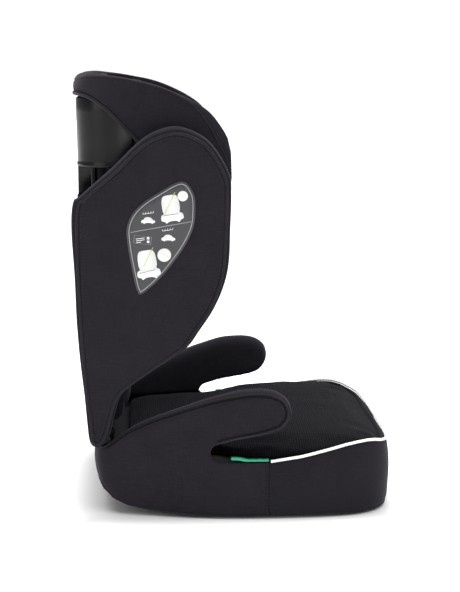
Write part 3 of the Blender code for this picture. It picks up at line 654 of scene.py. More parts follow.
def front_band():
    """The smooth fabric band round the front, with small puckers at its seams."""
    step = 0.003
    path = left_to_right(plan_path(SEAM_Y, FRONT_Y - 1.0, step))
    sections = []
    for index, y in enumerate(path[:, 1]):
        low, top = 0.0015, band_top(y) - 0.0005
        end = min(index, len(path) - 1 - index) * step
        tuck_in = 0.0024 * math.exp(-(end / 0.0022) ** 2)
        belly = 0.0012 * (1.0 - math.exp(-(end / 0.02) ** 2))
        section = [(0.0145, low)] + rolled_foot(low)
        section += [(0.0004 - belly * math.sin(math.pi * t), low + 0.020 + (top - 0.004 - low - 0.020) * t)
                    for t in np.linspace(0.07, 1.0, 14)]
        section += [(0.0012, top - 0.0015), (0.0035, top), (0.0060, top - 0.001), (0.0070, top - 0.004)]
        section += [(0.0066, top - 0.02), (0.0066, low + 0.030), (0.0090, low + 0.014), (0.0150, low + 0.005)]
        sections.append([(d + tuck_in + shoulder(y, z), z) for d, z in section])
    band = loft("front_band_cover", stood_along(path, sections), BAND)
    ripple(band, 0.0010, 0.055, 9.0)
    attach(band, "base")
    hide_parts("front_band")
    edge = line_along(path, [(0.0006 + shoulder(y, band_top(y)), band_top(y) + 0.0012) for y in path[:, 1]])
    piping = tube("front_piping", edge[1:-1], 0.0021, WHITE, resolution=4)
    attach(piping, "base")
    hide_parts("seat_piping")
    return band


BAND_SKIN = front_band()


def on_side(skin, sign, line, lift):
    """Places on a skin's outer side, found by looking inwards along x at each (y, z)."""
    bpy.context.view_layer.update()
    out = []
    for y, z in line:
        hit, place, _, _ = skin.ray_cast((sign * 0.30, y, z), (-sign, 0.0, 0.0))
        if hit:
            out.append((place.x + sign * lift, y, z))
    return out


def shrunk(line, distance):
    """An open line in (y, z) moved to its right-hand side."""
    run = np.gradient(np.array(line), axis=0)
    normal = np.stack([-run[:, 1], run[:, 0]], axis=1) / np.linalg.norm(run, axis=1)[:, None]
    return np.array(line) + normal * distance


def base_seams():
    """Armrest piping with its stitches, the vertical seams, and the hem round the foot."""
    over = smooth([(0.1890, 0.1010), (0.1580, 0.1240), (0.1220, 0.1420), (0.0860, 0.1560), (0.0590, 0.1655),
                   (0.0315, 0.1738), (-0.0050, 0.1812), (-0.0270, 0.1827), (-0.0430, 0.1812),
                   (-0.0560, 0.1768), (-0.0650, 0.1700), (-0.0692, 0.1600), (-0.0690, 0.1500),
                   (-0.0640, 0.1415), (-0.0540, 0.1340), (-0.0290, 0.1268), (0.0010, 0.1212),
                   (0.0300, 0.1135)], closed=False, steps=8)
    for word, sign in SIDES:
        line = on_side(BASE_SKIN, sign, over, -0.0002)
        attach(tube(f"armrest_piping_{word}", line, 0.0017, PIPING), "base")
        # A near-black cord just inside the armrest piping: painted shade of the seam's groove.
        groove_shade_line = on_side(BASE_SKIN, sign, shrunk(over, 0.0026), -0.0003)
        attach(tube(f"armrest_groove_shade_{word}", groove_shade_line, 0.0014, SHADE), "base")
        row = on_side(BASE_SKIN, sign, [(y, z - 0.0040) for y, z in over[2:100]], 0.0001)
        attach(stitches(f"armrest_stitching_{word}", row, radius=0.00034), "base")
        for skin, y, name in ((BASE_SKIN, SEAM_Y + 0.0050, "side"), (BAND_SKIN, SEAM_Y - 0.0045, "band")):
            row = on_side(skin, sign, [(y, z) for z in np.arange(0.010, 0.082, 0.004)], 0.0001)
            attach(stitches(f"{name}_seam_stitching_{word}", row, radius=0.00034), "base")
        edge = plan_path(SEAM_Y + 0.004, SEAM_Y - 0.004, 0.002)
        x = float(edge[len(edge) // 2][0]) - 0.0042
        cord = [(sign * x, SEAM_Y + 0.0002, z) for z in np.linspace(0.005, 0.0835, 20)]
        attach(tube(f"side_seam_cord_{word}", cord, 0.0019, PIPING), "base")
    whole = left_to_right(plan_path(REAR_Y + 1.0, FRONT_Y - 1.0, 0.006))[:-1]
    hem = line_along(whole, [(0.0056, band_low(y) + 0.0046) for y in whole[:, 1]])
    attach(tube("base_hem", hem, 0.0022, PIPING, closed=True), "base")


base_seams()


def belt_guide_hook():
    """The green guide on the floor of the belt gap: a flat foot at the rear, then a thin wavy bar."""
    top = ((-0.0425, -0.0350, -0.0300, -0.0250, -0.0200, -0.0150, -0.0100, -0.0060, -0.0010, 0.0060, 0.0130),
           (0.0886, 0.0881, 0.0888, 0.0881, 0.0888, 0.0882, 0.0890, 0.0902, 0.0910, 0.0914, 0.0915))
    foot = ((-0.0425, -0.0100, -0.0060, -0.0010, 0.0130), (0.0857, 0.0857, 0.0862, 0.0876, 0.0882))
    path = plan_path(0.0130, -0.0425, 0.0016)
    sections = []
    for y in path[:, 1]:
        low, high = interp(y, *foot), interp(y, *top)
        sections.append([(0.0016, low), (0.0008, low + 0.0008), (0.0008, high - 0.0009), (0.0017, high),
                         (0.0082, high), (0.0090, high - 0.0008), (0.0090, low + 0.0008), (0.0082, low)])
    hook = loft("belt_guide_hook", stood_along(path, sections), GREEN)
    both(hook, "belt_guide_hook", "base", "lap_belt_guide")


belt_guide_hook()


# ---------------------------------------------------------------- seat cushion
SEAT_HALF = [(0.0, SEAT_REAR_Y), (0.095, SEAT_REAR_Y), (0.136, 0.152), (0.150, 0.125), (0.162, 0.080),
             (0.174, 0.030), (0.198, 0.000), (0.211, -0.036), (0.2140, -0.085), (0.2110, -0.133),
             (0.1985, -0.173), (0.176, -0.2000), (0.145, -0.2155), (0.102, -0.2205), (0.050, -0.2218),
             (0.0, -0.2222)]
CREST = ((-0.2265, -0.216, -0.205, -0.190, -0.165, -0.135, -0.065, 0.0, 0.050, 0.100, 0.160),
         (0.0960, 0.1025, 0.1080, 0.1125, 0.1155, 0.1170, 0.1155, 0.1125, 0.1095, 0.107, 0.104))


def seat_plan(scale):
    """The cushion's outline from above, shrunk towards a place near its middle."""
    middle = -0.030
    other_half = [(-x, y) for x, y in reversed(SEAT_HALF[1:-1])]
    return [(x * scale, middle + (y - middle) * scale) for x, y in smooth(SEAT_HALF + other_half)]


def seat_surface(y, scale):
    """Height of the cushion: the edge sits on the white piping and runs under the armrests."""
    edge = max(band_top(min(y, -0.045)) - 0.0015, 0.0968)
    crest = float(np.interp(y, *CREST))
    share = (1.0 - scale ** 3.6) ** 0.50
    under = interp(y, (-0.095, -0.060, 0.030, 0.070), (0.0, 1.0, 1.0, 0.0))
    share *= 1.0 - 0.80 * under * interp(scale, (0.78, 0.90), (0.0, 1.0))
    return edge + share * (crest - edge)


def seat_cushion():
    """The crowned cushion, which wraps the foam board under it."""
    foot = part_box("seat_foam")[0].z
    rings = [[(x, y, foot + rise) for x, y in seat_plan(scale)]
             for scale, rise in ((0.90, 0.0), (0.975, 0.0), (0.980, 0.0025), (0.982, 0.009), (0.988, 0.014))]
    for scale in (1.0, 0.996, 0.985, 0.970, 0.950, 0.925, 0.895, 0.86, 0.82, 0.77, 0.71, 0.64, 0.55, 0.45,
                  0.34, 0.22, 0.10):
        rings.append([(x, y, max(seat_surface(y, scale), foot + 0.017)) for x, y in seat_plan(scale)])
    cushion = loft("seat_cushion_mesh", rings, MESH)
    puffed(cushion, 0.0045, 3.0, 0.003, hold=lambda p: p[2] < 0.096)
    ripple(cushion, 0.0011, 0.080, 21.0)
    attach(cushion, "base")
    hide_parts("seat_cushion", "seat_foam")


seat_cushion()


# ================================================================ backrest wings
LEAN = math.radians(4.3)
WING_FOOT_X, WING_FOOT_Z = 0.190, 0.112
WING = [(0.2050, 0.0985), (0.1965, 0.1005), (0.1885, 0.1080), (0.1830, 0.1200), (0.1765, 0.1450),
        (0.1685, 0.1700), (0.1560, 0.1860), (0.1310, 0.2045), (0.0950, 0.2295), (0.0700, 0.2480),
        (0.0525, 0.2730), (0.0340, 0.3020), (0.0210, 0.3315), (0.0140, 0.3640), (0.0108, 0.4150),
        (0.0097, 0.4650), (0.0123, 0.4940), (0.0300, 0.5280), (0.0500, 0.5490), (0.0830, 0.5610),
        (0.1140, 0.5547), (0.1410, 0.5388), (0.1775, 0.5045), (0.2205, 0.4645), (0.2312, 0.4515),
        (0.2332, 0.3880), (0.2275, 0.2450), (0.2172, 0.1300), (0.2150, 0.1120), (0.2112, 0.1020)]
SPINE = smooth([(0.2035, 0.122), (0.1900, 0.170), (0.1500, 0.270), (0.1250, 0.360), (0.1150, 0.445),
                (0.1100, 0.455)], closed=False, steps=20)


def leaning(u, y, z):
    """A place on a left wing: u is the distance out from the outer face, before the wing leans."""
    x = WING_FOOT_X + u * math.cos(LEAN) + (z - WING_FOOT_Z) * math.sin(LEAN)
    return x, y, WING_FOOT_Z - u * math.sin(LEAN) + (z - WING_FOOT_Z) * math.cos(LEAN)


wing_outline = evenly(smooth(WING, steps=12), 0.0045)


def towards_spine(distance):
    """The wing's outline moved towards its middle line by a distance."""
    out = []
    for place in wing_outline:
        gaps = SPINE - place
        lengths = np.linalg.norm(gaps, axis=1)
        nearest = int(np.argmin(lengths))
        length = float(lengths[nearest])
        out.append(place + gaps[nearest] / length * min(distance, length * 0.96))
    return np.array(out)


def wing_ring(distance, u):
    """The outline moved inwards by a distance and outwards of the wing's outer plane by u, in space."""
    return [leaning(u, y, z) for y, z in towards_spine(distance)]


def wing_skin(name, edge, finish, u, height, reach):
    """A skin from (distance, u) rings round the wing's edge to cloth that stands up by a height at u."""
    cloth = (towards_spine(edge[-1][0]), lambda y, z: leaning(u + crown(y, z, height, reach), y, z), 0.008)
    return loft(name, [wing_ring(*ring) for ring in edge], finish, patch=cloth)


def crown(y, z, height, reach):
    """How far the stretched cloth stands up at a place: nothing at the edge, then level."""
    gap = float(np.min(np.hypot(*(wing_outline - (y, z)).T)))
    return height * (1.0 - math.exp(-(gap / reach) ** 2))


def wing_panel():
    """The outer panel: stretched cloth, slightly crowned, sewn down at its edge."""
    edge = ((0.0086, -0.0085), (0.0084, -0.0050), (0.0090, -0.0034), (0.0105, -0.0026), (0.0125, -0.0022),
            (0.0160, -0.0016), (0.0220, -0.0007))
    panel = wing_skin("wing_panel_cover", edge, PANEL, -0.0018, 0.0036, 0.036)
    ripple(panel, 0.0011, 0.085, 4.0)
    both(panel, "wing_panel_cover", "backrest", "wing_panel")
    seam = tube("wing_edge_piping", wing_ring(0.0070, -0.0030), 0.0021, PIPING, closed=True)
    both(seam, "wing_edge_piping", "backrest", "wing_piping")
    row = wing_ring(0.0128, -0.0021)
    both(stitches("wing_stitching", row + row[:1]), "wing_stitching", "backrest")


wing_panel()


def wing_liner():
    """The cloth that wraps a wing's edge and its inner side, over foam."""
    edge = ((0.0120, -0.0110), (0.0078, -0.0052), (0.0050, -0.0036), (0.0028, -0.0044), (0.0010, -0.0080),
            (0.0002, -0.0140), (0.0000, -0.0210), (0.0004, -0.0290), (0.0022, -0.0350), (0.0060, -0.0395),
            (0.0120, -0.0425), (0.0200, -0.0440))
    liner = wing_skin("wing_liner", edge, INNER, -0.0430, -0.0032, 0.034)
    ripple(liner, 0.0020, 0.070, 12.0)
    for piece in both(liner, "wing_liner", "backrest", "wing_bolster", "wing_foam", "wing_side_plate"):
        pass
    seam = tube("wing_inner_seam", wing_ring(0.0205, -0.0448), 0.0011, PIPING, closed=True)
    both(seam, "wing_inner_seam", "backrest")


wing_liner()


# ---------------------------------------------------------------- printed patch with generic pictograms
LEAF = smooth([(0.0800, 0.4885), (0.0635, 0.4720), (0.0610, 0.4450), (0.0650, 0.4200), (0.0805, 0.3900),
               (0.1095, 0.3525), (0.1363, 0.3290), (0.1430, 0.3340), (0.1475, 0.3510), (0.1555, 0.3970),
               (0.1560, 0.4270), (0.1415, 0.4520), (0.1114, 0.4735)], steps=8)
LEAF_MIDDLE = np.array((0.108, 0.412))
FILM_U = 0.0026                       # the film's face, outwards of the wing's outer plane


def disc(y, z, radius):
    """A round ink shape's outline."""
    turns = np.linspace(0.0, math.tau, 29)[:-1]
    return [(y + radius * math.cos(a), z + radius * math.sin(a)) for a in turns]


def stroke(a, b, width):
    """A straight bar from one place to another."""
    a, b = np.array(a), np.array(b)
    along = (b - a) / np.linalg.norm(b - a)
    across = np.array((-along[1], along[0])) * width / 2
    return [a + across, b + across, b - across, a - across]


def placed(outline, y, z, size, turn=0.0):
    """An icon's outline, drawn about (0, 0) with y to the front, put on the patch."""
    c, s = math.cos(turn), math.sin(turn)
    return [(y - size * (a * c - b * s), z + size * (a * s + b * c)) for a, b in outline]


def inwards(outline, distance):
    """The leaf's outline moved inwards by a distance."""
    run = np.roll(outline, -1, axis=0) - np.roll(outline, 1, axis=0)
    normal = np.stack([-run[:, 1], run[:, 0]], axis=1)
    normal /= np.linalg.norm(normal, axis=1)[:, None]
    sign = np.sign(np.sum(normal * (LEAF_MIDDLE - outline), axis=1))[:, None]
    return outline + normal * sign * distance


def printed(name, outlines, finish, lift=0.0, closed_rings=()):
    """Flat ink shapes on the patch, each a thin closed plate."""
    work = bmesh.new()
    low, high = FILM_U - 0.0002, FILM_U + 0.00025 + lift
    for outline in outlines:
        rows = [[work.verts.new(leaning(u, y, z)) for y, z in outline] for u in (low, high)]
        joined(work, *rows)
        work.faces.new(rows[0])
        work.faces.new(rows[1])
    for outer, inner in closed_rings:
        rows = [[work.verts.new(leaning(u, y, z)) for y, z in ring]
                for ring, u in ((outer, low), (outer, high), (inner, high), (inner, low))]
        for k in range(4):
            joined(work, rows[k], rows[(k + 1) % 4])
    both(finished(work, name, finish), name, "backrest")


SEAT_ICON = smooth([(-0.24, 0.50), (0.0, 0.53), (0.24, 0.50), (0.32, 0.30), (0.33, 0.0), (0.30, -0.16),
                    (0.40, -0.22), (0.42, -0.40), (0.30, -0.46), (0.24, -0.53), (0.12, -0.47),
                    (-0.12, -0.47), (-0.24, -0.53), (-0.30, -0.46), (-0.42, -0.40), (-0.40, -0.22),
                    (-0.30, -0.16), (-0.33, 0.0), (-0.32, 0.30)], steps=3)
CAR_ICON = smooth([(-0.50, -0.14), (-0.49, 0.02), (-0.36, 0.08), (-0.22, 0.24), (0.04, 0.27), (0.22, 0.20),
                   (0.36, 0.06), (0.50, 0.0), (0.50, -0.14), (0.40, -0.16), (0.30, -0.24), (0.20, -0.16),
                   (-0.18, -0.16), (-0.28, -0.24), (-0.38, -0.16)], steps=2)


def label():
    """A dark film with a border, two seats, two cars and short bars in place of words."""
    rings = [[leaning(u, y, z) for y, z in inwards(LEAF, d)]
             for d, u in ((0.0, 0.0010), (0.0, FILM_U - 0.0003), (0.0003, FILM_U))]
    flat = inwards(LEAF, 0.0003)
    film = loft("label_film", rings, LABEL, patch=(flat, lambda y, z: leaning(FILM_U, y, z), 0.010))
    both(film, "label_film", "backrest", "instruction_label")
    border = [(inwards(LEAF, 0.0030), inwards(LEAF, 0.0042))]
    rule = stroke((0.1515, 0.4172), (0.0672, 0.4318), 0.0010)
    printed("label_border", [rule], GREY_INK, closed_rings=border)
    lean = math.radians(8.0)
    white = [placed(SEAT_ICON, 0.0948, 0.4500, 0.0370, lean), placed(SEAT_ICON, 0.1280, 0.3710, 0.0390, lean),
             disc(0.0786, 0.4680, 0.0072), disc(0.1047, 0.3846, 0.0095),
             placed(CAR_ICON, 0.1268, 0.4335, 0.0190), placed(CAR_ICON, 0.0990, 0.4085, 0.0190)]
    for y, z in ((0.1266, 0.4435), (0.0998, 0.4196)):
        white.append(stroke((y + 0.0075, z - 0.0008), (y - 0.0075, z + 0.0014), 0.0006))
        for k in range(5):
            at = y + 0.0072 - 0.0036 * k
            white.append(stroke((at, z - 0.0006 + 0.0006 * k), (at, z + 0.0016 + 0.0006 * k), 0.0005))
    white += [stroke((0.1440, z), (0.1440 - wide, z + wide * 0.12), 0.0008)
              for z, wide in ((0.4078, 0.0120), (0.4052, 0.0120), (0.4026, 0.0070))]
    square = [(-1, -1), (1, -1), (1, 1), (-1, 1)]
    white += [placed(square, 0.1270, z, 0.0017, -0.12) for z in (0.4088, 0.4038)]
    printed("label_white_ink", white, PRINT)
    oblong = [(y, 0.46 * z) for y, z in square]
    box = [placed(oblong, 0.1348, 0.4063, size, -0.12) for size in (0.0122, 0.0117)]
    printed("label_grey_ink", [], GREY_INK, closed_rings=[box])
    belts = (((0.0895, 0.4735), (0.1035, 0.4440), 0.0011), ((0.0815, 0.4650), (0.0757, 0.4710), 0.0007),
             ((0.1205, 0.3955), (0.1335, 0.3690), 0.0011), ((0.1085, 0.3870), (0.0985, 0.3820), 0.0008))
    printed("label_green_ink", [stroke(*belt) for belt in belts], LIME, lift=0.0001)
    laps = (((0.1050, 0.4405), (0.0850, 0.4435), 0.0006), ((0.1395, 0.3585), (0.1175, 0.3640), 0.0006))
    printed("label_dark_ink", [stroke(*lap) for lap in laps], LABEL, lift=0.0001)


label()


# ---------------------------------------------------------------- centre pad of the backrest
PAD_LOW, PAD_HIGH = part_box("back_pad")


def back_pad():
    """The cushion behind the child's back, with two sewn channels."""
    rear = PAD_HIGH.y
    rings = []
    foot = PAD_LOW.z
    outline = evenly(smooth([(-0.116, foot - 0.003), (0.0, foot - 0.005), (0.116, foot - 0.003),
                             (0.136, 0.146), (0.1425, 0.230), (0.1520, 0.340), (0.1565, 0.418),
                             (0.146, 0.441), (0.0, 0.446), (-0.146, 0.441), (-0.1565, 0.418),
                             (-0.1520, 0.340), (-0.1425, 0.230), (-0.136, 0.146)], steps=8), 0.006)
    for scale, share in ((0.90, 0.0), (0.985, 0.02), (1.0, 0.20), (1.0, 0.50), (0.98, 0.72), (0.94, 0.86),
                         (0.86, 0.95), (0.72, 1.0), (0.50, 1.02), (0.25, 1.02)):
        ring = []
        for x, z in outline:
            thick = interp(z, (0.12, 0.17, 0.30, 0.44), (0.040, 0.047, 0.036, 0.030))
            ring.append((x * scale, rear - thick * share, 0.280 + (z - 0.280) * scale))
        rings.append(ring)
    pad = loft("back_cushion", rings, INNER)
    puffed(pad, 0.005, 3.5, 0.006, hold=lambda p: p[1] > rear - 0.004)
    for vertex in pad.data.vertices:
        if vertex.co.y < rear - 0.015:
            for level in (0.225, 0.330):
                vertex.co.y += 0.0050 * math.exp(-((vertex.co.z - level) / 0.0065) ** 2)
            vertex.co.y += 0.0040 * math.exp(-((abs(vertex.co.x) - 0.098) / 0.0060) ** 2)
    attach(pad, "backrest")
    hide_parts("back_pad")


back_pad()


# ================================================================ headrest
COVER_LOW, COVER_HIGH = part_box("headrest_cover_left")
HEAD_X = COVER_HIGH.x
HEAD_TIP_Y = COVER_LOW.y
HEAD_REAR_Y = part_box("headrest_hood")[1].y

HOOD_HALF = [(0.0, HEAD_REAR_Y + 0.0015), (0.050, HEAD_REAR_Y + 0.0015), (0.092, HEAD_REAR_Y - 0.0020),
             (0.122, 0.2180), (0.1450, 0.1980), (0.1600, 0.1740), (0.1690, 0.1450), (HEAD_X, 0.110),
             (HEAD_X, 0.060), (HEAD_X - 0.0010, 0.030), (HEAD_X - 0.0040, HEAD_TIP_Y + 0.0005)]
HOOD_TOP = ((0.0072, 0.5150), (0.0082, 0.5270), (0.0110, 0.5410), (0.0180, 0.5550), (0.0279, 0.5690),
            (0.0406, 0.5825), (0.0588, 0.5945), (0.0796, 0.6048), (0.1020, 0.6138), (0.1240, 0.6206),
            (0.1466, 0.6254), (0.1690, 0.6295), (0.1910, 0.6322), (0.2130, 0.6342), (0.2330, 0.6330))
HOOD_CREASE = ((0.0072, 0.4980), (0.0100, 0.5018), (0.0169, 0.5190), (0.0254, 0.5344), (0.0340, 0.5515),
               (0.0442, 0.5685), (0.0629, 0.5910), (0.0782, 0.6010), (0.0985, 0.6110), (0.1240, 0.6190),
               (0.1690, 0.6270), (0.2130, 0.6270), (0.2315, 0.6220))
HOOD_FOOT = ((0.0072, 0.4850), (0.0105, 0.4700), (0.0180, 0.4580), (0.0280, 0.4510), (0.0405, 0.4460),
             (0.1000, 0.4470), (0.1200, 0.4520), (0.1290, 0.4800), (0.1345, 0.5250), (0.1395, 0.5375),
             (0.1566, 0.5550), (0.1733, 0.5730), (0.1900, 0.5870), (0.2070, 0.5980), (0.2210, 0.6025),
             (0.2315, 0.6035))


def hood_path(step):
    """Evenly spaced places round the hood, from the right wing's tip to the left one's."""
    half = smooth(HOOD_HALF, closed=False, steps=40)
    whole = length_along(half)[-1]
    return right_to_left(at_ticks(half, np.linspace(0.0, whole, int(whole / step) + 1)))


def hood_section(y):
    """The hood's section at a depth, from the lower edge round to the inside, and two of its heights."""
    low, top, crease = (curve_at(y, line) for line in (HOOD_FOOT, HOOD_TOP, HOOD_CREASE))
    thick = interp(y, (0.0072, 0.020, 0.180, 0.215, 0.2315), (0.009, 0.012, 0.013, 0.020, 0.0265))
    rim = top - crease
    section = [(0.0030, low + 0.0002), (0.0012, low + 0.0012), (0.0004, low + 0.0035)]
    for t in np.linspace(0.05, 1.0, 14):
        belly = -0.0012 * math.sin(math.pi * t) + 0.0009 * t ** 12
        section.append((belly, low + 0.0035 + (crease - low - 0.0035) * t))
    section += [(thick * 0.5 * (1.0 - math.cos(a)) ** 0.8, crease + rim * math.sin(a))
                for a in np.linspace(0.22, math.pi / 2, 8)]
    inner = min(rim, 0.010)
    section += [(thick - thick * 0.5 * (1.0 - math.sin(a)), top - inner + inner * math.cos(a))
                for a in np.linspace(0.0, math.pi / 2, 6)[1:]]
    section += [(thick, top - inner + (low + 0.0040 - top + inner) * t) for t in np.linspace(0.15, 1.0, 7)]
    section += [(thick - 0.0015, low + 0.0010), ((thick + 0.003) / 2, low)]
    return section, low, crease


def headrest_hood():
    """The cloth hood: one skin from wing tip round the rear to the other wing tip."""
    path = hood_path(0.0040)
    sections, lower, groove_shade_line, seam = [], [], [], []
    for (x, y), (nx, ny) in zip(path, inward_normals(path)):
        section, low, crease = hood_section(y)
        sections.append(section)
        if y > 0.1335:
            lower.append((x - nx * 0.0004, y - ny * 0.0004, low + 0.0012))
            # Just above the lower piping, where a near-black cord gives the groove's painted shade.
            groove_shade_line.append((x + nx * 0.0002, y + ny * 0.0002, low + 0.0040))
        if y < 0.150:
            seam.append((x + nx * 0.0002, y + ny * 0.0002, crease))
    hood = loft("headrest_hood_cover", stood_along(path, sections), PANEL)
    ripple(hood, 0.0012, 0.075, 7.0)
    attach(hood, "headrest")
    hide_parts("headrest_hood", "headrest_cover_left", "headrest_cover_right")
    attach(tube("hood_piping", lower, 0.0025, PIPING), "headrest")
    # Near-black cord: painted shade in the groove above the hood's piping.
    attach(tube("hood_groove_shade", groove_shade_line, 0.0010, SHADE), "headrest")
    row = [(x, y, z + 0.0062) for x, y, z in lower[3:-3]]
    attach(stitches("hood_stitching", row), "headrest")
    for word, sign in SIDES:
        line = [point for point in seam if point[0] * sign > 0.0]
        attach(tube(f"hood_front_seam_{word}", line, 0.0009, PIPING), "headrest")


headrest_hood()

SIDE_PAD_LOW, SIDE_PAD_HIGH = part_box("headrest_side_pad_left")


def rounded_ring(y, low, top, near, far, count):
    """An upright slice at a depth: a box from near to far and low to top, with round corners."""
    ring = []
    for k in range(count):
        a = math.tau * (k + 0.5) / count
        c, s = math.cos(a), math.sin(a)
        across, up = math.copysign(abs(c) ** 0.45, c), math.copysign(abs(s) ** 0.30, s)
        ring.append(((near + far) / 2 + across * (far - near) / 2, y, (low + top) / 2 + up * (top - low) / 2))
    return ring


def headrest_side_cushions():
    """The cushions at both sides of the head."""
    inner, outer = SIDE_PAD_LOW.x, SIDE_PAD_HIGH.x
    slices = ((SIDE_PAD_LOW.y + 0.0005, 0.478, 0.522, inner + 0.006, outer - 0.004),
              (0.0160, 0.466, 0.538, inner + 0.002, outer - 0.001), (0.0280, 0.455, 0.560, inner, outer),
              (0.0450, 0.450, 0.579, inner, outer), (0.0700, 0.449, 0.596, inner, outer),
              (0.1000, 0.452, 0.609, inner, outer), (0.1200, 0.458, 0.616, inner, outer),
              (0.1400, 0.470, 0.622, inner, outer - 0.001), (0.1550, 0.476, 0.623, inner, outer - 0.0045),
              (0.1640, 0.484, 0.619, inner + 0.003, outer - 0.006))
    side = loft("headrest_side_cushion", [rounded_ring(*each, 40) for each in slices], INNER)
    puffed(side, 0.004, 4.0, 0.005, hold=lambda p: p[0] > outer - 0.003)
    for piece in both(side, "headrest_side_cushion", "headrest", "headrest_side_pad"):
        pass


headrest_side_cushions()


def headrest_lining():
    """The cloth over the foam between each side cushion and the hood."""
    near = SIDE_PAD_HIGH.x + 0.0003
    slices = ((0.0115, 0.483, 0.520, 0.1552), (0.0150, 0.472, 0.533, 0.1577), (0.0280, 0.459, 0.556, 0.1589),
              (0.0450, 0.454, 0.575, 0.1591), (0.0700, 0.453, 0.591, 0.1591), (0.1000, 0.456, 0.604, 0.1591),
              (0.1200, 0.462, 0.611, 0.1591), (0.1330, 0.475, 0.614, 0.1587))
    rings = [rounded_ring(y, low, top, near, far, 32) for y, low, top, far in slices]
    both(loft("headrest_lining", rings, INNER), "headrest_lining", "headrest", "headrest_foam")


headrest_lining()


def headrest_cushion():
    """The cushion behind the head."""
    low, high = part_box("headrest_pad")
    middle = (low.z + high.z) / 2
    foot, top = low.z - 0.002, high.z - 0.004
    outline = evenly(smooth([(-0.108, foot), (0.108, foot), (0.1215, 0.472), (0.1215, 0.610), (0.104, top),
                             (-0.104, top), (-0.1215, 0.610), (-0.1215, 0.474)], steps=8), 0.006)
    rings = [[(x * scale, high.y - 0.029 * share, middle + (z - middle) * scale) for x, z in outline]
             for scale, share in ((0.92, 0.0), (0.99, 0.05), (1.0, 0.30), (0.99, 0.62), (0.95, 0.84),
                                  (0.87, 0.96), (0.70, 1.0), (0.40, 1.0))]
    pad = loft("headrest_cushion", rings, INNER)
    puffed(pad, 0.0045, 3.5, 0.005, hold=lambda p: p[1] > high.y - 0.004)
    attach(pad, "headrest")
    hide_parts("headrest_pad")


headrest_cushion()


def belt_hook_stem():
    """The foot by which a green shoulder belt hook hangs from its headrest wing."""
    low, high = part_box("shoulder_belt_guide_left")
    rings = []
    for rise, front, rear, side in ((-0.002, 0.064, 0.118, 0.0006), (0.003, 0.066, 0.116, 0.0006),
                                    (0.010, 0.070, 0.112, 0.0010)):
        near, far = low.x + side, high.x - side
        corners = ((near, front), (far, front), (far, rear), (near, rear))
        rings.append([(x, y, high.z + rise) for x, y in corners])
    stem = loft("belt_hook_stem", rings, GREEN)
    stem.data.set_sharp_from_angle(angle=math.radians(40))
    both(stem, "belt_hook_stem", "headrest")


belt_hook_stem()

SHELL_LOW, SHELL_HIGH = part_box("headrest_shell")
SHELL_HALF = [(0.0, SHELL_HIGH.y + 0.002), (0.060, SHELL_HIGH.y + 0.002), (0.092, SHELL_HIGH.y + 0.001),
              (0.115, 0.2218), (0.1330, 0.207), (0.1420, 0.190), (0.1450, 0.170), (0.1445, 0.149)]


def headrest_shell():
    """The satin rear shell with a rolled lower lip and the window for the release handle."""
    path = right_to_left(smooth(SHELL_HALF, closed=False, steps=12))
    low, top = SHELL_LOW.z, SHELL_HIGH.z
    section = [(0.0030, low + 0.0045), (0.0046, low + 0.0030), (0.0044, low + 0.0006), (0.0025, low),
               (0.0006, low + 0.0006), (0.0, low + 0.0022), (0.0003, low + 0.0042), (0.0011, low + 0.0055),
               (0.0013, low + 0.0080), (0.0008, low + 0.030), (0.0, top - 0.02), (0.0, top - 0.001),
               (0.0008, top), (0.0022, top), (0.0030, top - 0.001), (0.0030, top - 0.02),
               (0.0034, low + 0.030), (0.0036, low + 0.0080)]
    shell = loft("headrest_rear_shell", stood_along(path, [section] * len(path)), SATIN)
    corners = ((-0.040, 0.524), (0.040, 0.524), (0.040, 0.566), (-0.040, 0.566))
    window = loft("window", [[(x, y, z) for x, z in corners] for y in (0.214, 0.245)], SATIN)
    modifier(window, "BEVEL", width=0.006, segments=4, limit_method="ANGLE")
    applied(window)
    cut(shell, window)
    shell.data.set_sharp_from_angle(angle=math.radians(40))
    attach(shell, "headrest")
    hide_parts("headrest_shell")


headrest_shell()


# ================================================================ CAD nodes that stay
def finish_nodes():
    """The moulded and metal CAD nodes keep their shape and take their own materials."""
    plain = {
        DULL: ("base_shell", "floor_ribs", "bottom_plate", "armrest_core_left", "armrest_core_right",
               "rod_bracket_left", "rod_bracket_right", "back_shell", "guide_rail_left", "guide_rail_right",
               "height_rack", "hinge_hook_left", "hinge_hook_right", "headrest_frame",
               "release_handle"),
        GLOSSY: ("headrest_slider",),
        GREEN: ("shoulder_belt_guide_left", "shoulder_belt_guide_right"),
        STEEL: ("hinge_rod", "release_rod", "release_spring", "lock_pin"),
        RUBBER: ("front_foot_left", "front_foot_right", "rear_foot_left", "rear_foot_right"),
    }
    for finish, names in plain.items():
        for name in names:
            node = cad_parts[name]
            node.data.materials.clear()
            node.data.materials.append(finish)


finish_nodes()


# ================================================================ studio
def link_light(lamp, place, target):
    """A lamp in the scene, turned to its target."""
    made = bpy.data.objects.new(lamp.name, lamp)
    scene.collection.objects.link(made)
    made.location = place
    made.rotation_euler = (Vector(target) - Vector(place)).to_track_quat("-Z", "Y").to_euler()


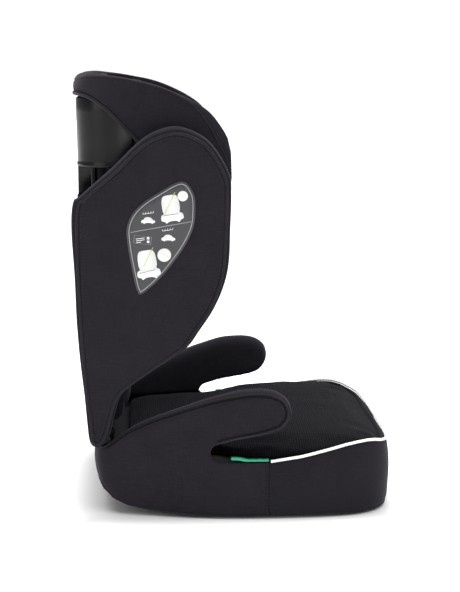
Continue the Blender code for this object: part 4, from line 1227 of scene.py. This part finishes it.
def floor():
    """A white floor that keeps the shadow under the seat's edge, and glows to plain white further out."""
    backdrop, nodes, links, shader = new_material("studio_white")
    shader.inputs["Base Color"].default_value = (0.78, 0.78, 0.78, 1.0)
    shader.inputs["Roughness"].default_value = 0.9
    spread = nodes.new("ShaderNodeVectorMath")
    spread.operation = "ABSOLUTE"
    links.new(coordinates(nodes, links), spread.inputs[0])
    parts = nodes.new("ShaderNodeSeparateXYZ")
    links.new(spread.outputs["Vector"], parts.inputs["Vector"])
    glow = nodes.new("ShaderNodeMapRange")
    glow.interpolation_type = "SMOOTHSTEP"
    glow.inputs["From Min"].default_value = 0.198
    glow.inputs["From Max"].default_value = 0.272
    glow.inputs["To Max"].default_value = 0.60
    links.new(combine(nodes, links, "MAXIMUM", parts.outputs["X"], parts.outputs["Y"]), glow.inputs["Value"])
    links.new(glow.outputs["Result"], shader.inputs["Emission Strength"])
    shader.inputs["Emission Color"].default_value = (1.0, 1.0, 1.0, 1.0)
    work = bmesh.new()
    bmesh.ops.create_grid(work, x_segments=1, y_segments=1, size=12.0)
    mesh = bpy.data.meshes.new("floor")
    work.to_mesh(mesh)
    work.free()
    ground = link("floor", mesh, backdrop)
    ground.location.z = -0.0003


def surroundings():
    """White to the camera, and a dimmer white to everything that it lights."""
    world = bpy.data.worlds.new("studio_world")
    scene.world = world
    world.use_nodes = True
    nodes, links = world.node_tree.nodes, world.node_tree.links
    seen = nodes.new("ShaderNodeLightPath")
    level = nodes.new("ShaderNodeMapRange")
    level.inputs["To Min"].default_value = 0.29
    level.inputs["To Max"].default_value = 1.05
    links.new(seen.outputs["Is Camera Ray"], level.inputs["Value"])
    links.new(level.outputs["Result"], nodes["Background"].inputs["Strength"])
    nodes["Background"].inputs["Color"].default_value = (1.0, 1.0, 1.0, 1.0)
    scene.view_settings.view_transform = "Standard"


def lights():
    """A broad light from above, and cards at the sides: name, place, target, size and power."""
    sky = bpy.data.lights.new("overhead_dome", "SUN")
    sky.energy = 2.9
    sky.angle = math.radians(70.0)
    link_light(sky, (0.55, 0.0, 3.0), (0.0, 0.0, 0.0))
    for name, place, target, size, power in (
            ("key", (-1.7, -1.1, 1.9), (0.0, 0.0, 0.25), 1.6, 12.0),
            ("rear_fill", (-1.3, 1.8, 1.2), (0.0, 0.1, 0.35), 1.2, 9.0),
            ("top", (0.2, 0.0, 2.4), (0.0, 0.0, 0.2), 2.0, 14.0),
            ("far_side", (2.0, -0.6, 1.4), (0.0, 0.0, 0.25), 1.5, 5.0),
            ("low_card", (-2.75, -0.30, 0.30), (0.0, 0.1, 0.45), 0.75, 9.0)):
        lamp = bpy.data.lights.new(name, "AREA")
        lamp.energy = power
        lamp.size = size
        link_light(lamp, place, target)


def camera():
    """Level with the armrests, square to the child's right side and a little behind it."""
    distance, rise, behind = 2.34, math.radians(9.37), math.radians(3.47)
    target = Vector((0.0, -0.0003, 0.2895))
    back = Vector((-math.cos(behind) * math.cos(rise), math.sin(behind) * math.cos(rise), math.sin(rise)))
    data = bpy.data.cameras.new("camera")
    data.lens = 91.7
    data.sensor_width = 36.0
    made = bpy.data.objects.new("camera", data)
    scene.collection.objects.link(made)
    made.location = target + back * distance
    made.rotation_euler = (-back).to_track_quat("-Z", "Y").to_euler()
    scene.camera = made


floor()
surroundings()
lights()
camera()
